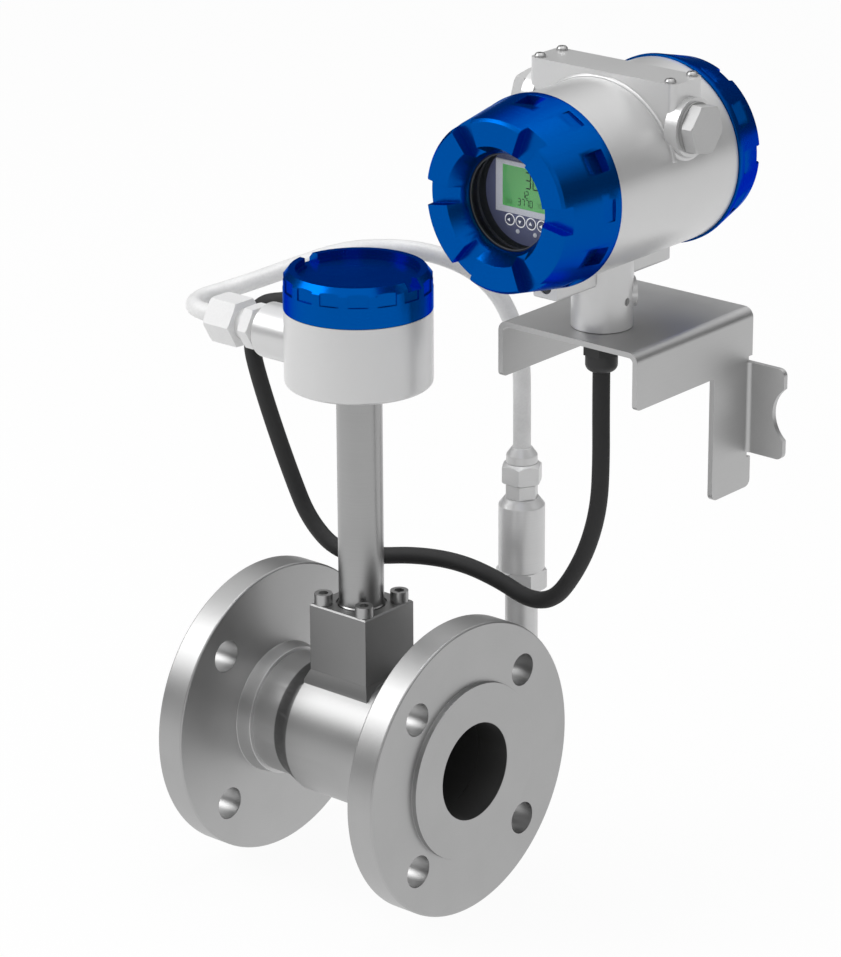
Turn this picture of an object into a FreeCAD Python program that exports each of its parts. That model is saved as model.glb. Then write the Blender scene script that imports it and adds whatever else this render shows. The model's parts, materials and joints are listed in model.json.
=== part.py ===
import FreeCAD, Part
import math
import os
import re

import Sketcher
from FreeCAD import Placement, Rotation, Vector

# Vortex flow meter with a remote transmitter, in millimetres.
# +X is the flow direction, the display looks along -Y and +Z is up.
# The origin is the centre of the inlet's raised sealing face.

dimensions = {
    "flow tube": {
        "face_to_face": 160, "bore_r": 27.2, "neck_r": 34.6, "neck_len": 16.3, "taper_len": 12.2,
        "body_r": 38.9, "tap_ahead": 28, "tap_r": 12, "tap_face": 46, "tap_bore_r": 4,
    },
    "flanges": {
        "flange_r": 82.5, "flange_thick": 17, "raised_r": 49.5, "raised_high": 3,
        "bolt_circle": 125, "bolt_count": 4, "bolt_hole_r": 9, "flange_edge": 0.8,
        "hub_root_r": 37.5, "hub_end_r": 36.6, "hub_len": 9.2, "weld_leg": 3,
    },
    "bluff body": {
        "shedder_start": 50, "shedder_len": 18, "shedder_wide": 15.2, "shedder_tail": 6,
    },
    "bonnet": {
        "bonnet_side": 40, "bonnet_top": 77.9, "seat_top": 39.5, "seat_flare": 2.7, "seat_slope": 6,
        "seat_root": 20, "bonnet_edge": 0.8, "bonnet_bore_r": 11, "screw_pitch": 29.2,
        "screw_r": 3, "screw_head_r": 5, "screw_head_high": 6.2, "screw_socket_r": 2.9,
        "screw_socket_deep": 3, "screw_hole_r": 3.3, "screw_bottom": 29, "tapped_gap": 0.05,
        "gasket_inner_r": 12.6, "gasket_r": 15.6, "gasket_thick": 2, "foot_recess_r": 14,
        "foot_recess_deep": 1.2,
    },
    "probe": {
        "probe_hole_r": 10, "probe_r": 9.5, "probe_collar_r": 12.4, "probe_body_r": 10.6,
        "probe_low": 28, "probe_high": 70, "blade_len": 12, "blade_thick": 3, "blade_tip": -8,
    },
    "stem": {
        "stem_r": 12.4, "stem_bore_r": 10, "stem_collar": 0.7, "stem_flare": 2.4,
    },
    "junction cup": {
        "cup_r": 39.9, "cup_bottom": 204.2, "cup_shoulder": 246.2, "cup_bore_r": 32.4, "cup_floor": 5,
        "cup_edge_r": 2.5, "spigot_r": 36.3, "spigot_high": 12, "wire_hole_r": 8,
        "entry_high": 220.5, "entry_r": 15.3, "entry_end": 63.8, "rear_entry_end": 58,
        "rear_entry_angle": 145,
    },
    "junction cap": {
        "cap_r": 40, "cap_gap": 0.3, "cap_ceiling": 259.6, "cap_floor": 263,
        "cap_bevel": 263.8, "cap_top": 268, "cap_top_r": 36.8, "cap_recess_r": 33.3,
        "cap_ledge": 1.4, "cap_ledge_wide": 1.3,
        "cap_slot": 10, "grip_count": 16, "grip_wide": 10.8, "grip_deep": 1, "grip_low": 257.8,
        "grip_phase": 4, "seal_r": 0.9, "seal_play": 0.3,
    },
    "terminal strip": {
        "strip_len": 36, "strip_wide": 18, "strip_high": 13, "strip_ways": 5, "strip_pit_r": 2.2,
        "strip_pit_deep": 5,
    },
    "lead glands": {
        "gland_thread_r": 8.9, "gland_bite": 12, "gland_neck": 5.8, "gland_hex_r": 13, "gland_hex_len": 6.8,
        "gland_gap": 5.3, "nut_hex_r": 14.3, "nut_len": 18.8, "nut_bore_deep": 13, "thread_play": 0.05,
        "hex_trim": 1.1, "hex_bevel": 0.7, "gland_spin": 30, "plug_spin": 20, "sensor_spin": 30,
    },
    "leads": {
        "sensor_lead_r": 5, "signal_lead_r": 4.75,
    },
    "pressure sensor": {
        "sensor_y": 104, "cone_top": 145.3, "cone_top_r": 5.6, "cone_r": 8.75, "cone_base": 141,
        "collar_low": 136.4, "upper_hex_r": 11.9, "upper_hex_low": 125, "groove_r": 8, "groove_high": 1,
        "middle_hex_r": 9.6, "middle_hex_low": 116, "sensor_shoulder": 111.7, "sensor_r": 13,
        "sensor_low": 73.6, "lower_hex_r": 14.4, "lower_hex_low": 62, "siphon_r": 9.2, "siphon_bore_r": 6.6,
        "siphon_bend": 26,
    },
    "bracket": {
        "plate_top": 245.3, "sheet": 3, "bend_r": 2.5, "bracket_wide": 91.5, "bracket_reach": 44.5,
        "bracket_front": 32,
        "bracket_deep": 101.5, "flange_drop": 31, "flange_corner_r": 3, "leg_wide": 34, "leg_drop": 100,
        "corner_r": 4,
        "tab_reach": 23, "tab_top": 215.8, "tab_low": 165.2, "saddle_r": 18.5, "saddle_bite": 7,
        "saddle_high": 190.5, "relief": 3.2,
    },
    "neck joint": {
        "head_ahead": 116.5, "head_y": 60, "bush_r": 12, "bush_high": 26, "bush_bore_r": 6.4,
        "bush_groove": 1, "bush_groove_high": 4.8, "neck_play": 0.05, "neck_lift": 0.3,
        "gland_post_r": 8, "gland_post_high": 11, "plate_hole_r": 8.3, "post_bore_r": 5.4,
        "cap_hex_r": 10.35, "cap_hex_high": 12.7, "dome_r": 8.65, "dome_high": 9.6, "dome_edge_r": 4,
    },
    "housing": {
        "head_high": 329.4, "barrel_r": 49.4, "barrel_half": 50, "rim_step": 5.8, "rim_wall": 2.6,
        "rim_r": "=barrel_r-rim_step", "chamber_r": "=rim_r-rim_wall", "rim_len": 12, "wall_front": 13,
        "wall_thick": 5, "housing_neck_r": 16.4, "socket_high": 27, "neck_bore_r": 6.5,
        "neck_screw_high": 261, "neck_screw_r": 2, "neck_screw_len": 3.6, "neck_screw_gap": 0.3,
        "neck_boss_r": 8, "neck_boss_reach": 17.3, "neck_boss_angle": 50, "neck_boss_high": 263,
        "bar_wide": 15.5, "bar_drop": 9.3, "bar_low": "=barrel_r+bar_drop", "bar_inset": 2.2,
        "bar_front": "=barrel_half-bar_inset", "bar_gap": 15.6, "bar_corner_r": 1.5, "bar_hole_r": 4,
        "bar_hole_high": 7, "bar_hole_deep": 14,
    },
    "terminal bridge": {
        "bridge_inset": 2.4, "bridge_half": "=barrel_r-bridge_inset", "bridge_wide": 25.2, "bridge_back": 9,
        "bridge_low": 8, "bridge_rise": 1, "bridge_high": "=barrel_r+bridge_rise", "bridge_corner_r": 4,
        "conduit_high": 29, "conduit_boss_r": 15.4, "conduit_boss": 3.5, "conduit_r": 10.2, "bead_r": 1.6,
        "bead_from": 15, "bead_sweep": 113, "lid_thick": 2.5, "lid_screw_inset": 5,
        "lid_screw_x": "=bridge_half-lid_screw_inset", "lid_screw_y": 9.2, "lid_screw_r": 1.5,
        "lid_head_r": 3, "lid_head_high": 2.3,
        "lid_screw_len": 9,
    },
    "blanking plugs": {
        "washer_r": 13.4, "washer_thick": 1.5, "plug_hex_r": 13.9, "plug_hex_len": 7, "plug_shank": 13,
    },
    "screw covers": {
        "cover_lip": 1.2, "cover_rim_r": "=barrel_r+cover_lip", "cover_gap": 0.3, "cover_rim": 2,
        "nose_inset": 4.4, "cover_nose_r": "=barrel_r-nose_inset", "nose_chamfer": 1.5,
        "cover_bore_end": 12.7,
        "front_face": 39.2, "dish_r": 31, "window_r": 25.6, "window_front": 29.7, "glass_seat": 27.2,
        "glass_r": 29.7, "glass_play": 0.1, "inner_shelf": 19.2, "inner_step": 4,
        "inner_r": "=chamber_r-inner_step", "rear_face": 25.9, "rear_dish_r": 29, "rear_dish": 22.7,
        "rear_ceiling": 18.7, "notch_count": 6, "notch_wide": 7.6, "notch_flare": 4.3, "notch_deep": 6.5,
        "rear_notch_wide": 8, "rear_notch_flare": 1, "rear_notch_deep": 5, "pocket_start": 4.5,
        "pocket_wide": 11.5, "pocket_floor": 1.5, "pocket_run": 28, "dimple_floor": 5.4, "dimple_len": 11,
        "rear_dimple_len": 8, "ring_r": 0.85, "ring_play": 0.3,
    },
    "window": {
        "window_seal_r": 24.7, "window_seal_thick": 1.2, "glass_thick": 5, "retainer_r": 26,
        "retainer_thick": 1.8,
    },
    "display": {
        "dial_r": 26, "dial_ahead": 14, "dial_front": "=barrel_half+dial_ahead", "dial_thick": 2.5,
        "module_play": 7, "module_r": "=chamber_r-module_play", "module_wall": 2.5, "board_inset": 20,
        "board_at": "=barrel_half-board_inset", "board_play": 3, "board_r": "=chamber_r-board_play",
        "board_thick": 1.6, "post_r": 3, "post_inset": 9, "post_circle_r": "=chamber_r-post_inset",
        "bezel_wide": 37.6, "bezel_high": 27.2, "bezel_up": 3.4, "bezel_thick": 1,
        "glass_wide": 29, "glass_high": 21.6, "glass_up": 3.9, "panel_thick": 0.6,
        "key_pitch": 6.9, "key_down": 14, "key_r": 2.3, "key_play": 0.3, "key_sunk": 1.6,
        "key_proud": 0.6,
    },
    "rear terminals": {
        "block_len": 44, "block_high": 16, "block_deep": 15, "block_ways": 5, "block_pit_r": 2.4,
        "block_pit_deep": 5, "block_up": -6,
    },
}

doc = FreeCAD.newDocument("vortex_flow_meter")
sizes = doc.addObject("Spreadsheet::Sheet", "sizes")
known = set()
line = 1
for group, values in dimensions.items():
    sizes.set("A%d" % line, group)
    line += 1
    for word, number in values.items():
        sizes.set("A%d" % line, word)
        sizes.set("B%d" % line, str(number))
        sizes.setAlias("B%d" % line, word)
        known.add(word)
        line += 1
doc.recompute()

stem_x = "(face_to_face/2)"
tap_x = "(face_to_face/2+tap_ahead)"
head_x = "(face_to_face/2+head_ahead)"
flange_depth = "(raised_high+flange_thick)"

turns = {
    "+z": Rotation(),
    "-z": Rotation(Vector(1, 0, 0), 180),
    "+x": Rotation(Vector(0, 1, 0), 90),
    "-x": Rotation(Vector(0, 1, 0), -90),
    "+y": Rotation(Vector(1, 0, 0), -90),
    "-y": Rotation(Vector(1, 0, 0), 90),
}
nodes = []


def amount(text):
    """Number that an expression of sheet names stands for."""
    return float(sizes.evalExpression(str(text)))


def bound(text):
    """The same expression with each sheet name given its sheet."""
    return re.sub(r"[a-z_]+", lambda found: "sizes." + found[0] if found[0] in known else found[0],
        str(text))


def bind(item, field, text):
    item.setExpression(field, bound(text))


def place(item, at, axis="+z", spin=0, yaw=0):
    """Put an object at a point, its own Z along an axis, after a spin about that Z."""
    turn = Rotation(Vector(0, 0, 1), yaw) * turns[axis] * Rotation(Vector(0, 0, 1), spin)
    item.Placement = Placement(Vector(*[amount(text) for text in at]), turn)
    for letter, text in zip("xyz", at):
        bind(item, "Placement.Base." + letter, text)
    return item


def node(item, name):
    item.Label = name
    nodes.append(item)
    return item


def rod(name, radius, length, at, axis="+z", yaw=0):
    item = doc.addObject("Part::Cylinder", name)
    bind(item, "Radius", radius)
    bind(item, "Height", length)
    return place(item, at, axis, 0, yaw)


def hexagon(name, radius, length, at, axis="+z", spin=0, yaw=0):
    item = doc.addObject("Part::Prism", name)
    item.Polygon = 6
    bind(item, "Circumradius", radius)
    bind(item, "Height", length)
    return place(item, at, axis, spin, yaw)


def bevelled(name, radius, length, at, axis="+z", spin=0, yaw=0):
    """Hexagon whose corners are turned off at both ends."""
    limit = turned(name + "_limit", [
        ("0", "0"), ("%s-hex_trim" % radius, "0"), ("%s+hex_trim" % radius, "2*hex_bevel"),
        ("%s+hex_trim" % radius, "%s-2*hex_bevel" % length), ("%s-hex_trim" % radius, length),
        ("0", length),
    ], at, axis)
    place(limit, at, axis, 0, yaw)
    item = doc.addObject("Part::Common", name)
    item.Base = hexagon(name + "_prism", radius, length, at, axis, spin, yaw)
    item.Tool = limit
    return item


def block(name, size, at):
    item = doc.addObject("Part::Box", name)
    for field, text in zip(("Length", "Width", "Height"), size):
        bind(item, field, text)
    return place(item, at)


def ring_bar(name, major, minor, at, axis="+z", start=0, sweep=360):
    item = doc.addObject("Part::Torus", name)
    bind(item, "Radius1", major)
    bind(item, "Radius2", minor)
    item.Angle3 = sweep
    return place(item, at, axis, start)


def fused(name, items):
    item = doc.addObject("Part::MultiFuse", name)
    item.Shapes = items
    return item


def less(name, base, tools):
    """A base with its tools cut out of it."""
    item = doc.addObject("Part::Cut", name)
    item.Base = base
    item.Tool = tools[0] if len(tools) == 1 else fused(name + "_tools", tools)
    return item


def grouped(name, items):
    item = doc.addObject("Part::Compound", name)
    item.Links = items
    return item


def eased(name, base, radius, wanted, kind="Part::Fillet"):
    """Round or bevel the edges of a base that a test picks."""
    doc.recompute()
    item = doc.addObject(kind, name)
    item.Base = base
    reach = amount(radius)
    item.Edges = [(count + 1, reach, reach) for count, edge in enumerate(base.Shape.Edges) if wanted(edge)]
    return item


def upright(edge):
    low, high = edge.Vertexes[0].Point, edge.Vertexes[-1].Point
    return (high - low).cross(Vector(0, 0, 1)).Length < 1e-6 and len(edge.Vertexes) == 2


def sketch_on(body, name, plane, lift="0", spin=0):
    """Empty sketch on one of a body's own planes, raised by an expression."""
    sketch = body.newObject("Sketcher::SketchObject", name)
    support = [item for item in body.Origin.OriginFeatures if item.Role == plane][0]
    sketch.AttachmentSupport = (support, [""])
    sketch.MapMode = "FlatFace"
    sketch.AttachmentOffset = Placement(Vector(0, 0, amount(lift)), Rotation(Vector(0, 0, 1), spin))
    bind(sketch, "AttachmentOffset.Base.z", lift)
    return sketch


def outline(sketch, corners):
    """Closed polygon whose corners are pairs of expressions."""
    spots = [Vector(amount(across), amount(up), 0) for across, up in corners]
    count = len(spots)
    sketch.addGeometry([Part.LineSegment(spots[k], spots[(k + 1) % count]) for k in range(count)], False)
    ties = [Sketcher.Constraint("Coincident", k, 2, (k + 1) % count, 1) for k in range(count)]
    for k, spot in enumerate(spots):
        ties.append(Sketcher.Constraint("DistanceX", -1, 1, k, 1, spot.x))
        ties.append(Sketcher.Constraint("DistanceY", -1, 1, k, 1, spot.y))
    sketch.addConstraint(ties)
    for k, (across, up) in enumerate(corners):
        bind(sketch, "Constraints[%d]" % (count + 2 * k), across)
        bind(sketch, "Constraints[%d]" % (count + 2 * k + 1), up)
    return sketch


def turned(name, profile, at=("0", "0", "0"), axis="+z"):
    """Body of revolution about its own Z from (radius, height) corners."""
    body = doc.addObject("PartDesign::Body", name)
    sketch = outline(sketch_on(body, name + "_profile", "XZ_Plane"), profile)
    turn = body.newObject("PartDesign::Revolution", name + "_turning")
    turn.Profile = sketch
    turn.ReferenceAxis = (sketch, ["V_Axis"])
    turn.Angle = 360
    sketch.Visibility = False
    return place(body, at, axis)


def rounded(body, name, radius, wanted):
    """Fillet on the edges of a body's last feature that a test picks."""
    doc.recompute()
    base = body.Tip
    fillet = body.newObject("PartDesign::Fillet", name)
    fillet.Base = (base, ["Edge%d" % (count + 1)
                          for count, edge in enumerate(base.Shape.Edges) if wanted(edge)])
    bind(fillet, "Radius", radius)
    body.Tip = fillet
    return fillet


def repeated(body, feature, sketch, count):
    """Polar pattern of one cut about the body's own Z."""
    ring = body.newObject("PartDesign::PolarPattern", feature.Name + "_pattern")
    ring.Originals = [feature]
    ring.Axis = (sketch, ["N_Axis"])
    ring.Angle = 360
    bind(ring, "Occurrences", count)
    body.Tip = ring
    return ring


def pockets(body, name, top, depth, inner, outer, width, count, spin=0, flare="0"):
    """Ring of pockets cut down from a height, each side spreading by a flare."""
    sketch = sketch_on(body, name + "_shape", "XY_Plane", top, spin)
    half = "(%s)/2" % width
    wide = "(%s+%s)" % (half, flare)
    outline(sketch, [(inner, "-" + half), (outer, "-" + wide), (outer, wide), (inner, half)])
    cut = body.newObject("PartDesign::Pocket", name)
    cut.Profile = sketch
    bind(cut, "Length", depth)
    return repeated(body, cut, sketch, count)


def wedges(body, name, low, run, floor, outer, width, count, spin):
    """Ring of pockets whose floors slope out through the side."""
    sketch = sketch_on(body, name + "_shape", "XZ_Plane")
    sketch.AttachmentOffset = Placement(Vector(0, 0, 0), Rotation(Vector(0, 1, 0), spin))
    outline(sketch, [(floor, low), (outer, low), (outer, "%s+%s" % (low, run))])
    cut = body.newObject("PartDesign::Pocket", name)
    cut.Profile = sketch
    cut.Midplane = True
    bind(cut, "Length", width)
    ring = repeated(body, cut, sketch, count)
    ring.Axis = (sketch, ["V_Axis"])
    return ring


def drilled(body, name, depth, radius, circle_r, count, spin=0):
    """Ring of round holes cut up from the body's own base plane."""
    sketch = sketch_on(body, name + "_shape", "XY_Plane", "0", spin)
    sketch.addGeometry(Part.Circle(Vector(amount(circle_r), 0, 0), Vector(0, 0, 1), amount(radius)), False)
    sketch.addConstraint([
        Sketcher.Constraint("Radius", 0, amount(radius)),
        Sketcher.Constraint("DistanceX", -1, 1, 0, 3, amount(circle_r)),
        Sketcher.Constraint("PointOnObject", 0, 3, -1),
    ])
    bind(sketch, "Constraints[0]", radius)
    bind(sketch, "Constraints[1]", circle_r)
    cut = body.newObject("PartDesign::Pocket", name)
    cut.Profile = sketch
    cut.Reversed = True
    bind(cut, "Length", depth)
    return repeated(body, cut, sketch, count)


# Flanges and flow tube

inlet_flange = turned("inlet_flange", [
    ("bore_r", "0"), ("raised_r", "0"), ("raised_r", "raised_high"),
    ("flange_r-flange_edge", "raised_high"), ("flange_r", "raised_high+flange_edge"),
    ("flange_r", flange_depth + "-flange_edge"), ("flange_r-flange_edge", flange_depth),
    ("hub_root_r", flange_depth), ("hub_end_r", flange_depth + "+hub_len"),
    ("bore_r", flange_depth + "+hub_len"),
], axis="+x")
outlet_flange = turned("outlet_flange", [
    ("bore_r", "0"), ("raised_r", "0"), ("raised_r", "raised_high"),
    ("flange_r-flange_edge", "raised_high"), ("flange_r", "raised_high+flange_edge"),
    ("flange_r", flange_depth + "-flange_edge"), ("flange_r-flange_edge", flange_depth),
    ("body_r+weld_leg", flange_depth), ("body_r", flange_depth + "+weld_leg"),
    ("body_r", flange_depth), ("bore_r", flange_depth),
], ("face_to_face", "0", "0"), "-x")
for flange in (inlet_flange, outlet_flange):
    drilled(flange, flange.Name + "_bolt_holes", flange_depth + "+1", "bolt_hole_r", "bolt_circle/2",
            "bolt_count", 45)
    node(flange, flange.Name)

tube_start = "(%s+hub_len)" % flange_depth
tube_len = "(face_to_face-2*%s-hub_len)" % flange_depth
tube_solid = turned("tube_solid", [
    ("0", "0"), ("neck_r", "0"), ("neck_r", "neck_len"), ("body_r", "neck_len+taper_len"),
    ("body_r", tube_len), ("0", tube_len),
], (tube_start, "0", "0"), "+x")
seat_side = "(bonnet_side+2*seat_flare)"
seat_root = block("seat_root_block", (seat_side, seat_side, "seat_top-seat_slope-seat_root"),
                  (stem_x + "-%s/2" % seat_side, "-%s/2" % seat_side, "seat_root"))
seat_slope = doc.addObject("Part::Wedge", "seat_slope_block")
for field, text in (("Xmin", "0"), ("Xmax", seat_side), ("Zmin", "0"), ("Zmax", seat_side),
                    ("X2min", "seat_flare"), ("X2max", seat_side + "-seat_flare"),
                    ("Z2min", "seat_flare"), ("Z2max", seat_side + "-seat_flare"),
                    ("Ymin", "0"), ("Ymax", "seat_slope")):
    bind(seat_slope, field, text)
place(seat_slope, (stem_x + "-%s/2" % seat_side, "%s/2" % seat_side, "seat_top-seat_slope"), "-y")
tap_stub = rod("tap_stub", "tap_r", "tap_face-bore_r", (tap_x, "bore_r", "0"), "+y")
tube_cuts = [
    rod("tube_bore", "bore_r", "face_to_face", ("0", "0", "0"), "+x"),
    rod("probe_hole", "probe_hole_r", "seat_top+1", (stem_x, "0", "0")),
    rod("tap_hole", "tap_bore_r", "tap_face", (tap_x, "1", "0"), "+y"),
]
corners = [(side_x, side_y) for side_x in (-1, 1) for side_y in (-1, 1)]
for count, (side_x, side_y) in enumerate(corners):
    tube_cuts.append(rod("seat_tapping_%d" % count, "screw_r+tapped_gap", "seat_top-screw_bottom+2", (
        stem_x + "+%d*screw_pitch/2" % side_x, "%d*screw_pitch/2" % side_y, "screw_bottom-1")))
node(less("meter_tube", fused("tube_outside", [tube_solid, seat_root, seat_slope, tap_stub]), tube_cuts),
     "meter_tube")

bar = doc.addObject("PartDesign::Body", "shedder_blank")
bar_shape = outline(sketch_on(bar, "shedder_section", "XY_Plane"), [
    ("0", "-shedder_wide/2"), ("shedder_len", "-shedder_tail/2"),
    ("shedder_len", "shedder_tail/2"), ("0", "shedder_wide/2"),
])
bar_pad = bar.newObject("PartDesign::Pad", "shedder_length")
bar_pad.Profile = bar_shape
bar_pad.Midplane = True
bind(bar_pad, "Length", "2*bore_r")
place(bar, ("shedder_start", "0", "0"))
shedder = doc.addObject("Part::Common", "shedder_bar")
shedder.Base = bar
shedder.Tool = rod("shedder_limit", "bore_r", "shedder_len+2", ("shedder_start-1", "0", "0"), "+x")
node(shedder, "shedder_bar")

# Bonnet, probe and stem

bonnet_blank = block("bonnet_blank", ("bonnet_side", "bonnet_side", "bonnet_top-seat_top"),
                     (stem_x + "-bonnet_side/2", "-bonnet_side/2", "seat_top"))
top_level = amount("bonnet_top")
bonnet_bevel = eased("bonnet_bevel", bonnet_blank, "bonnet_edge",
                     lambda edge: abs(edge.BoundBox.ZMin - top_level) < 1e-6, "Part::Chamfer")
bonnet_cuts = [
    rod("bonnet_bore", "bonnet_bore_r", "bonnet_top-seat_top+2", (stem_x, "0", "seat_top-1")),
    rod("gasket_recess", "gasket_r", "gasket_thick+1", (stem_x, "0", "seat_top-1")),
    rod("foot_recess", "foot_recess_r", "foot_recess_deep+1", (stem_x, "0", "bonnet_top-foot_recess_deep")),
]
screws = []
for count, (side_x, side_y) in enumerate(corners):
    spot_x = stem_x + "+%d*screw_pitch/2" % side_x
    spot_y = "%d*screw_pitch/2" % side_y
    bonnet_cuts.append(rod("screw_way_%d" % count, "screw_hole_r", "bonnet_top-seat_top+2",
                           (spot_x, spot_y, "seat_top-1")))
    head = rod("screw_head_%d" % count, "screw_head_r", "screw_head_high", (spot_x, spot_y, "bonnet_top"))
    shank = rod("screw_shank_%d" % count, "screw_r", "bonnet_top-screw_bottom",
        (spot_x, spot_y, "screw_bottom"))
    socket = hexagon("screw_socket_%d" % count, "screw_socket_r", "screw_socket_deep+1",
                     (spot_x, spot_y, "bonnet_top+screw_head_high-screw_socket_deep"))
    screws.append(less("cap_screw_%d" % count, fused("screw_blank_%d" % count, [head, shank]), [socket]))
node(less("bonnet_block", bonnet_bevel, bonnet_cuts), "bonnet_block")
node(grouped("bonnet_screws", screws), "bonnet_screws")
node(turned("bonnet_gasket", [
    ("gasket_inner_r", "0"), ("gasket_r", "0"), ("gasket_r", "gasket_thick"),
    ("gasket_inner_r", "gasket_thick"),
], (stem_x, "0", "seat_top")), "bonnet_gasket")

probe_body = turned("probe_body", [
    ("0", "probe_low"), ("probe_r", "probe_low"), ("probe_r", "seat_top"), ("probe_collar_r", "seat_top"),
    ("probe_collar_r", "seat_top+gasket_thick"), ("probe_body_r", "seat_top+gasket_thick"),
    ("probe_body_r", "probe_high"), ("0", "probe_high"),
], (stem_x, "0", "0"))
probe_blade = block("probe_blade", ("blade_len", "blade_thick", "probe_low+1-blade_tip"),
                    (stem_x + "-blade_len/2", "-blade_thick/2", "blade_tip"))
node(fused("piezo_probe", [probe_body, probe_blade]), "piezo_probe")

node(turned("support_stem", [
    ("stem_bore_r", "bonnet_top-foot_recess_deep"), ("stem_r+stem_collar", "bonnet_top-foot_recess_deep"),
    ("stem_r+stem_collar", "bonnet_top"), ("stem_r", "bonnet_top+stem_collar"),
    ("stem_r", "cup_bottom-stem_flare"), ("stem_r+stem_collar", "cup_bottom"),
    ("stem_bore_r", "cup_bottom"),
], (stem_x, "0", "0")), "support_stem")

# Junction cup, its cap and its terminal strip

cup_turned = turned("cup_turned", [
    ("wire_hole_r", "cup_bottom"), ("cup_r", "cup_bottom"), ("cup_r", "cup_shoulder"),
    ("spigot_r", "cup_shoulder"), ("spigot_r", "cup_shoulder+spigot_high"),
    ("cup_bore_r", "cup_shoulder+spigot_high"), ("cup_bore_r", "cup_bottom+cup_floor"),
    ("wire_hole_r", "cup_bottom+cup_floor"),
], (stem_x, "0", "0"))
rounded(cup_turned, "cup_round", "cup_edge_r", lambda edge: abs(edge.BoundBox.ZMax - amount("cup_bottom")) < 1e-6
        and edge.BoundBox.XMax > amount("cup_r") - 1)
entries = (("sensor", "entry_end", 180), ("signal", "rear_entry_end", amount("rear_entry_angle")))


def along(angle, reach):
    """Point at a distance from the stem, in a level direction."""
    return (stem_x + "+(%s)*cos(%g)" % (reach, angle), "(%s)*sin(%g)" % (reach, angle), "entry_high")


wall_middle = "(cup_bore_r+cup_r)/2"
entry_bosses = [rod(name + "_entry", "entry_r", "%s-%s" % (end, wall_middle), along(angle, wall_middle),
    "+x", angle)
                for name, end, angle in entries]
entry_bores = [rod(name + "_entry_bore", "gland_thread_r+thread_play", end + "-cup_bore_r/2+1",
                   along(angle, "cup_bore_r/2"), "+x", angle) for name, end, angle in entries]
node(less("junction_cup", fused("cup_outside", [cup_turned] + entry_bosses), entry_bores), "junction_cup")

cap_bore_r = "(spigot_r+thread_play)"
cap_low = "(cup_shoulder+cap_gap)"
seal_room = "(2*(seal_r+seal_play))"
junction_cap = turned("junction_cap", [
    ("spigot_r+" + seal_room, cap_low), ("cap_r", cap_low), ("cap_r", "cap_bevel"),
    ("cap_top_r", "cap_top"), ("cap_recess_r", "cap_top"), ("cap_recess_r", "cap_floor+cap_ledge"),
    ("cap_recess_r-cap_ledge_wide", "cap_floor+cap_ledge"), ("cap_recess_r-cap_ledge_wide", "cap_floor"),
    ("0", "cap_floor"), ("0", "cap_ceiling"), (cap_bore_r, "cap_ceiling"),
    (cap_bore_r, cap_low + "+%s" % seal_room),
    ("spigot_r+" + seal_room, cap_low + "+" + seal_room),
], (stem_x, "0", "0"))
pockets(junction_cap, "cap_slot_cut", "cap_top+1", "cap_top+1-cap_floor", "0", "cap_r+1", "cap_slot", "2")
pockets(junction_cap, "cap_grips", "cap_top+1", "cap_top+1-grip_low", "cap_r-grip_deep", "cap_r+1",
        "grip_wide", "grip_count", -amount("grip_phase"))
node(junction_cap, "junction_cap")
node(ring_bar("junction_seal", "spigot_r+seal_play+seal_r", "seal_r",
              (stem_x, "0", "cup_shoulder+seal_play+seal_r")), "junction_seal")

strip_body = block("strip_body", ("strip_len", "strip_wide", "strip_high"),
                   (stem_x + "-strip_len/2", "-strip_wide/2", "cup_bottom+cup_floor"))
strip_pits = []
for count in range(int(amount("strip_ways"))):
    for side in (-1, 1):
        strip_pits.append(rod("strip_pit_%d_%d" % (count, side + 1), "strip_pit_r", "strip_pit_deep+1", (
            stem_x + "+strip_len*(%d+0.5-strip_ways/2)/strip_ways" % count, "%d*strip_wide/4" % side,
            "cup_bottom+cup_floor+strip_high-strip_pit_deep")))
node(less("terminal_strip", strip_body, strip_pits), "terminal_strip")

# Cable glands on the junction cup

nut_end = {}
for name, end, angle in entries:
    hex_start = "%s+gland_neck" % end
    nut_start = "%s+gland_hex_len+gland_gap" % hex_start
    nut_end[name] = "(%s+nut_len)" % nut_start
    thread = rod(name + "_thread", "gland_thread_r",
        "gland_bite+gland_neck+gland_hex_len+gland_gap+nut_bore_deep",
                 along(angle, end + "-gland_bite"), "+x", angle)
    collar = bevelled(name + "_collar", "gland_hex_r", "gland_hex_len", along(angle, hex_start), "+x",
                      amount("gland_spin"), angle)
    node(fused(name + "_gland_body", [thread, collar]), name + "_gland_body")
    nut = bevelled(name + "_nut_blank", "nut_hex_r", "nut_len", along(angle, nut_start), "+x",
                   amount("gland_spin"), angle)
    nut_bore = rod(name + "_nut_bore", "gland_thread_r+thread_play", "nut_bore_deep+1",
                   along(angle, nut_start + "-1"), "+x", angle)
    node(less(name + "_gland_nut", nut, [nut_bore]), name + "_gland_nut")

# Pressure sensor on its siphon

sensor_at = (tap_x, "sensor_y", "0")
node(turned("pressure_lead_cap", [
    ("0", "collar_low"), ("cone_r", "collar_low"), ("cone_r", "cone_base"), ("cone_top_r", "cone_top"),
    ("0", "cone_top"),
], sensor_at), "pressure_lead_cap")
upper_hex = hexagon("upper_hex", "upper_hex_r", "collar_low-upper_hex_low",
    (tap_x, "sensor_y", "upper_hex_low"))
upper_dome = turned("upper_hex_chamfer", [
    ("0", "upper_hex_low"), ("upper_hex_r*0.94", "upper_hex_low"), ("upper_hex_r+0.1", "upper_hex_low+0.8"),
    ("upper_hex_r+0.1", "collar_low-2.4"), ("cone_r+0.4", "collar_low"), ("0", "collar_low"),
], sensor_at)
gland_hex = doc.addObject("Part::Common", "pressure_gland_nut")
gland_hex.Base = upper_hex
gland_hex.Tool = upper_dome
node(gland_hex, "pressure_gland_nut")
middle_hex = hexagon("middle_hex", "middle_hex_r", "upper_hex_low-groove_high-middle_hex_low",
                     (tap_x, "sensor_y", "middle_hex_low"))
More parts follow.
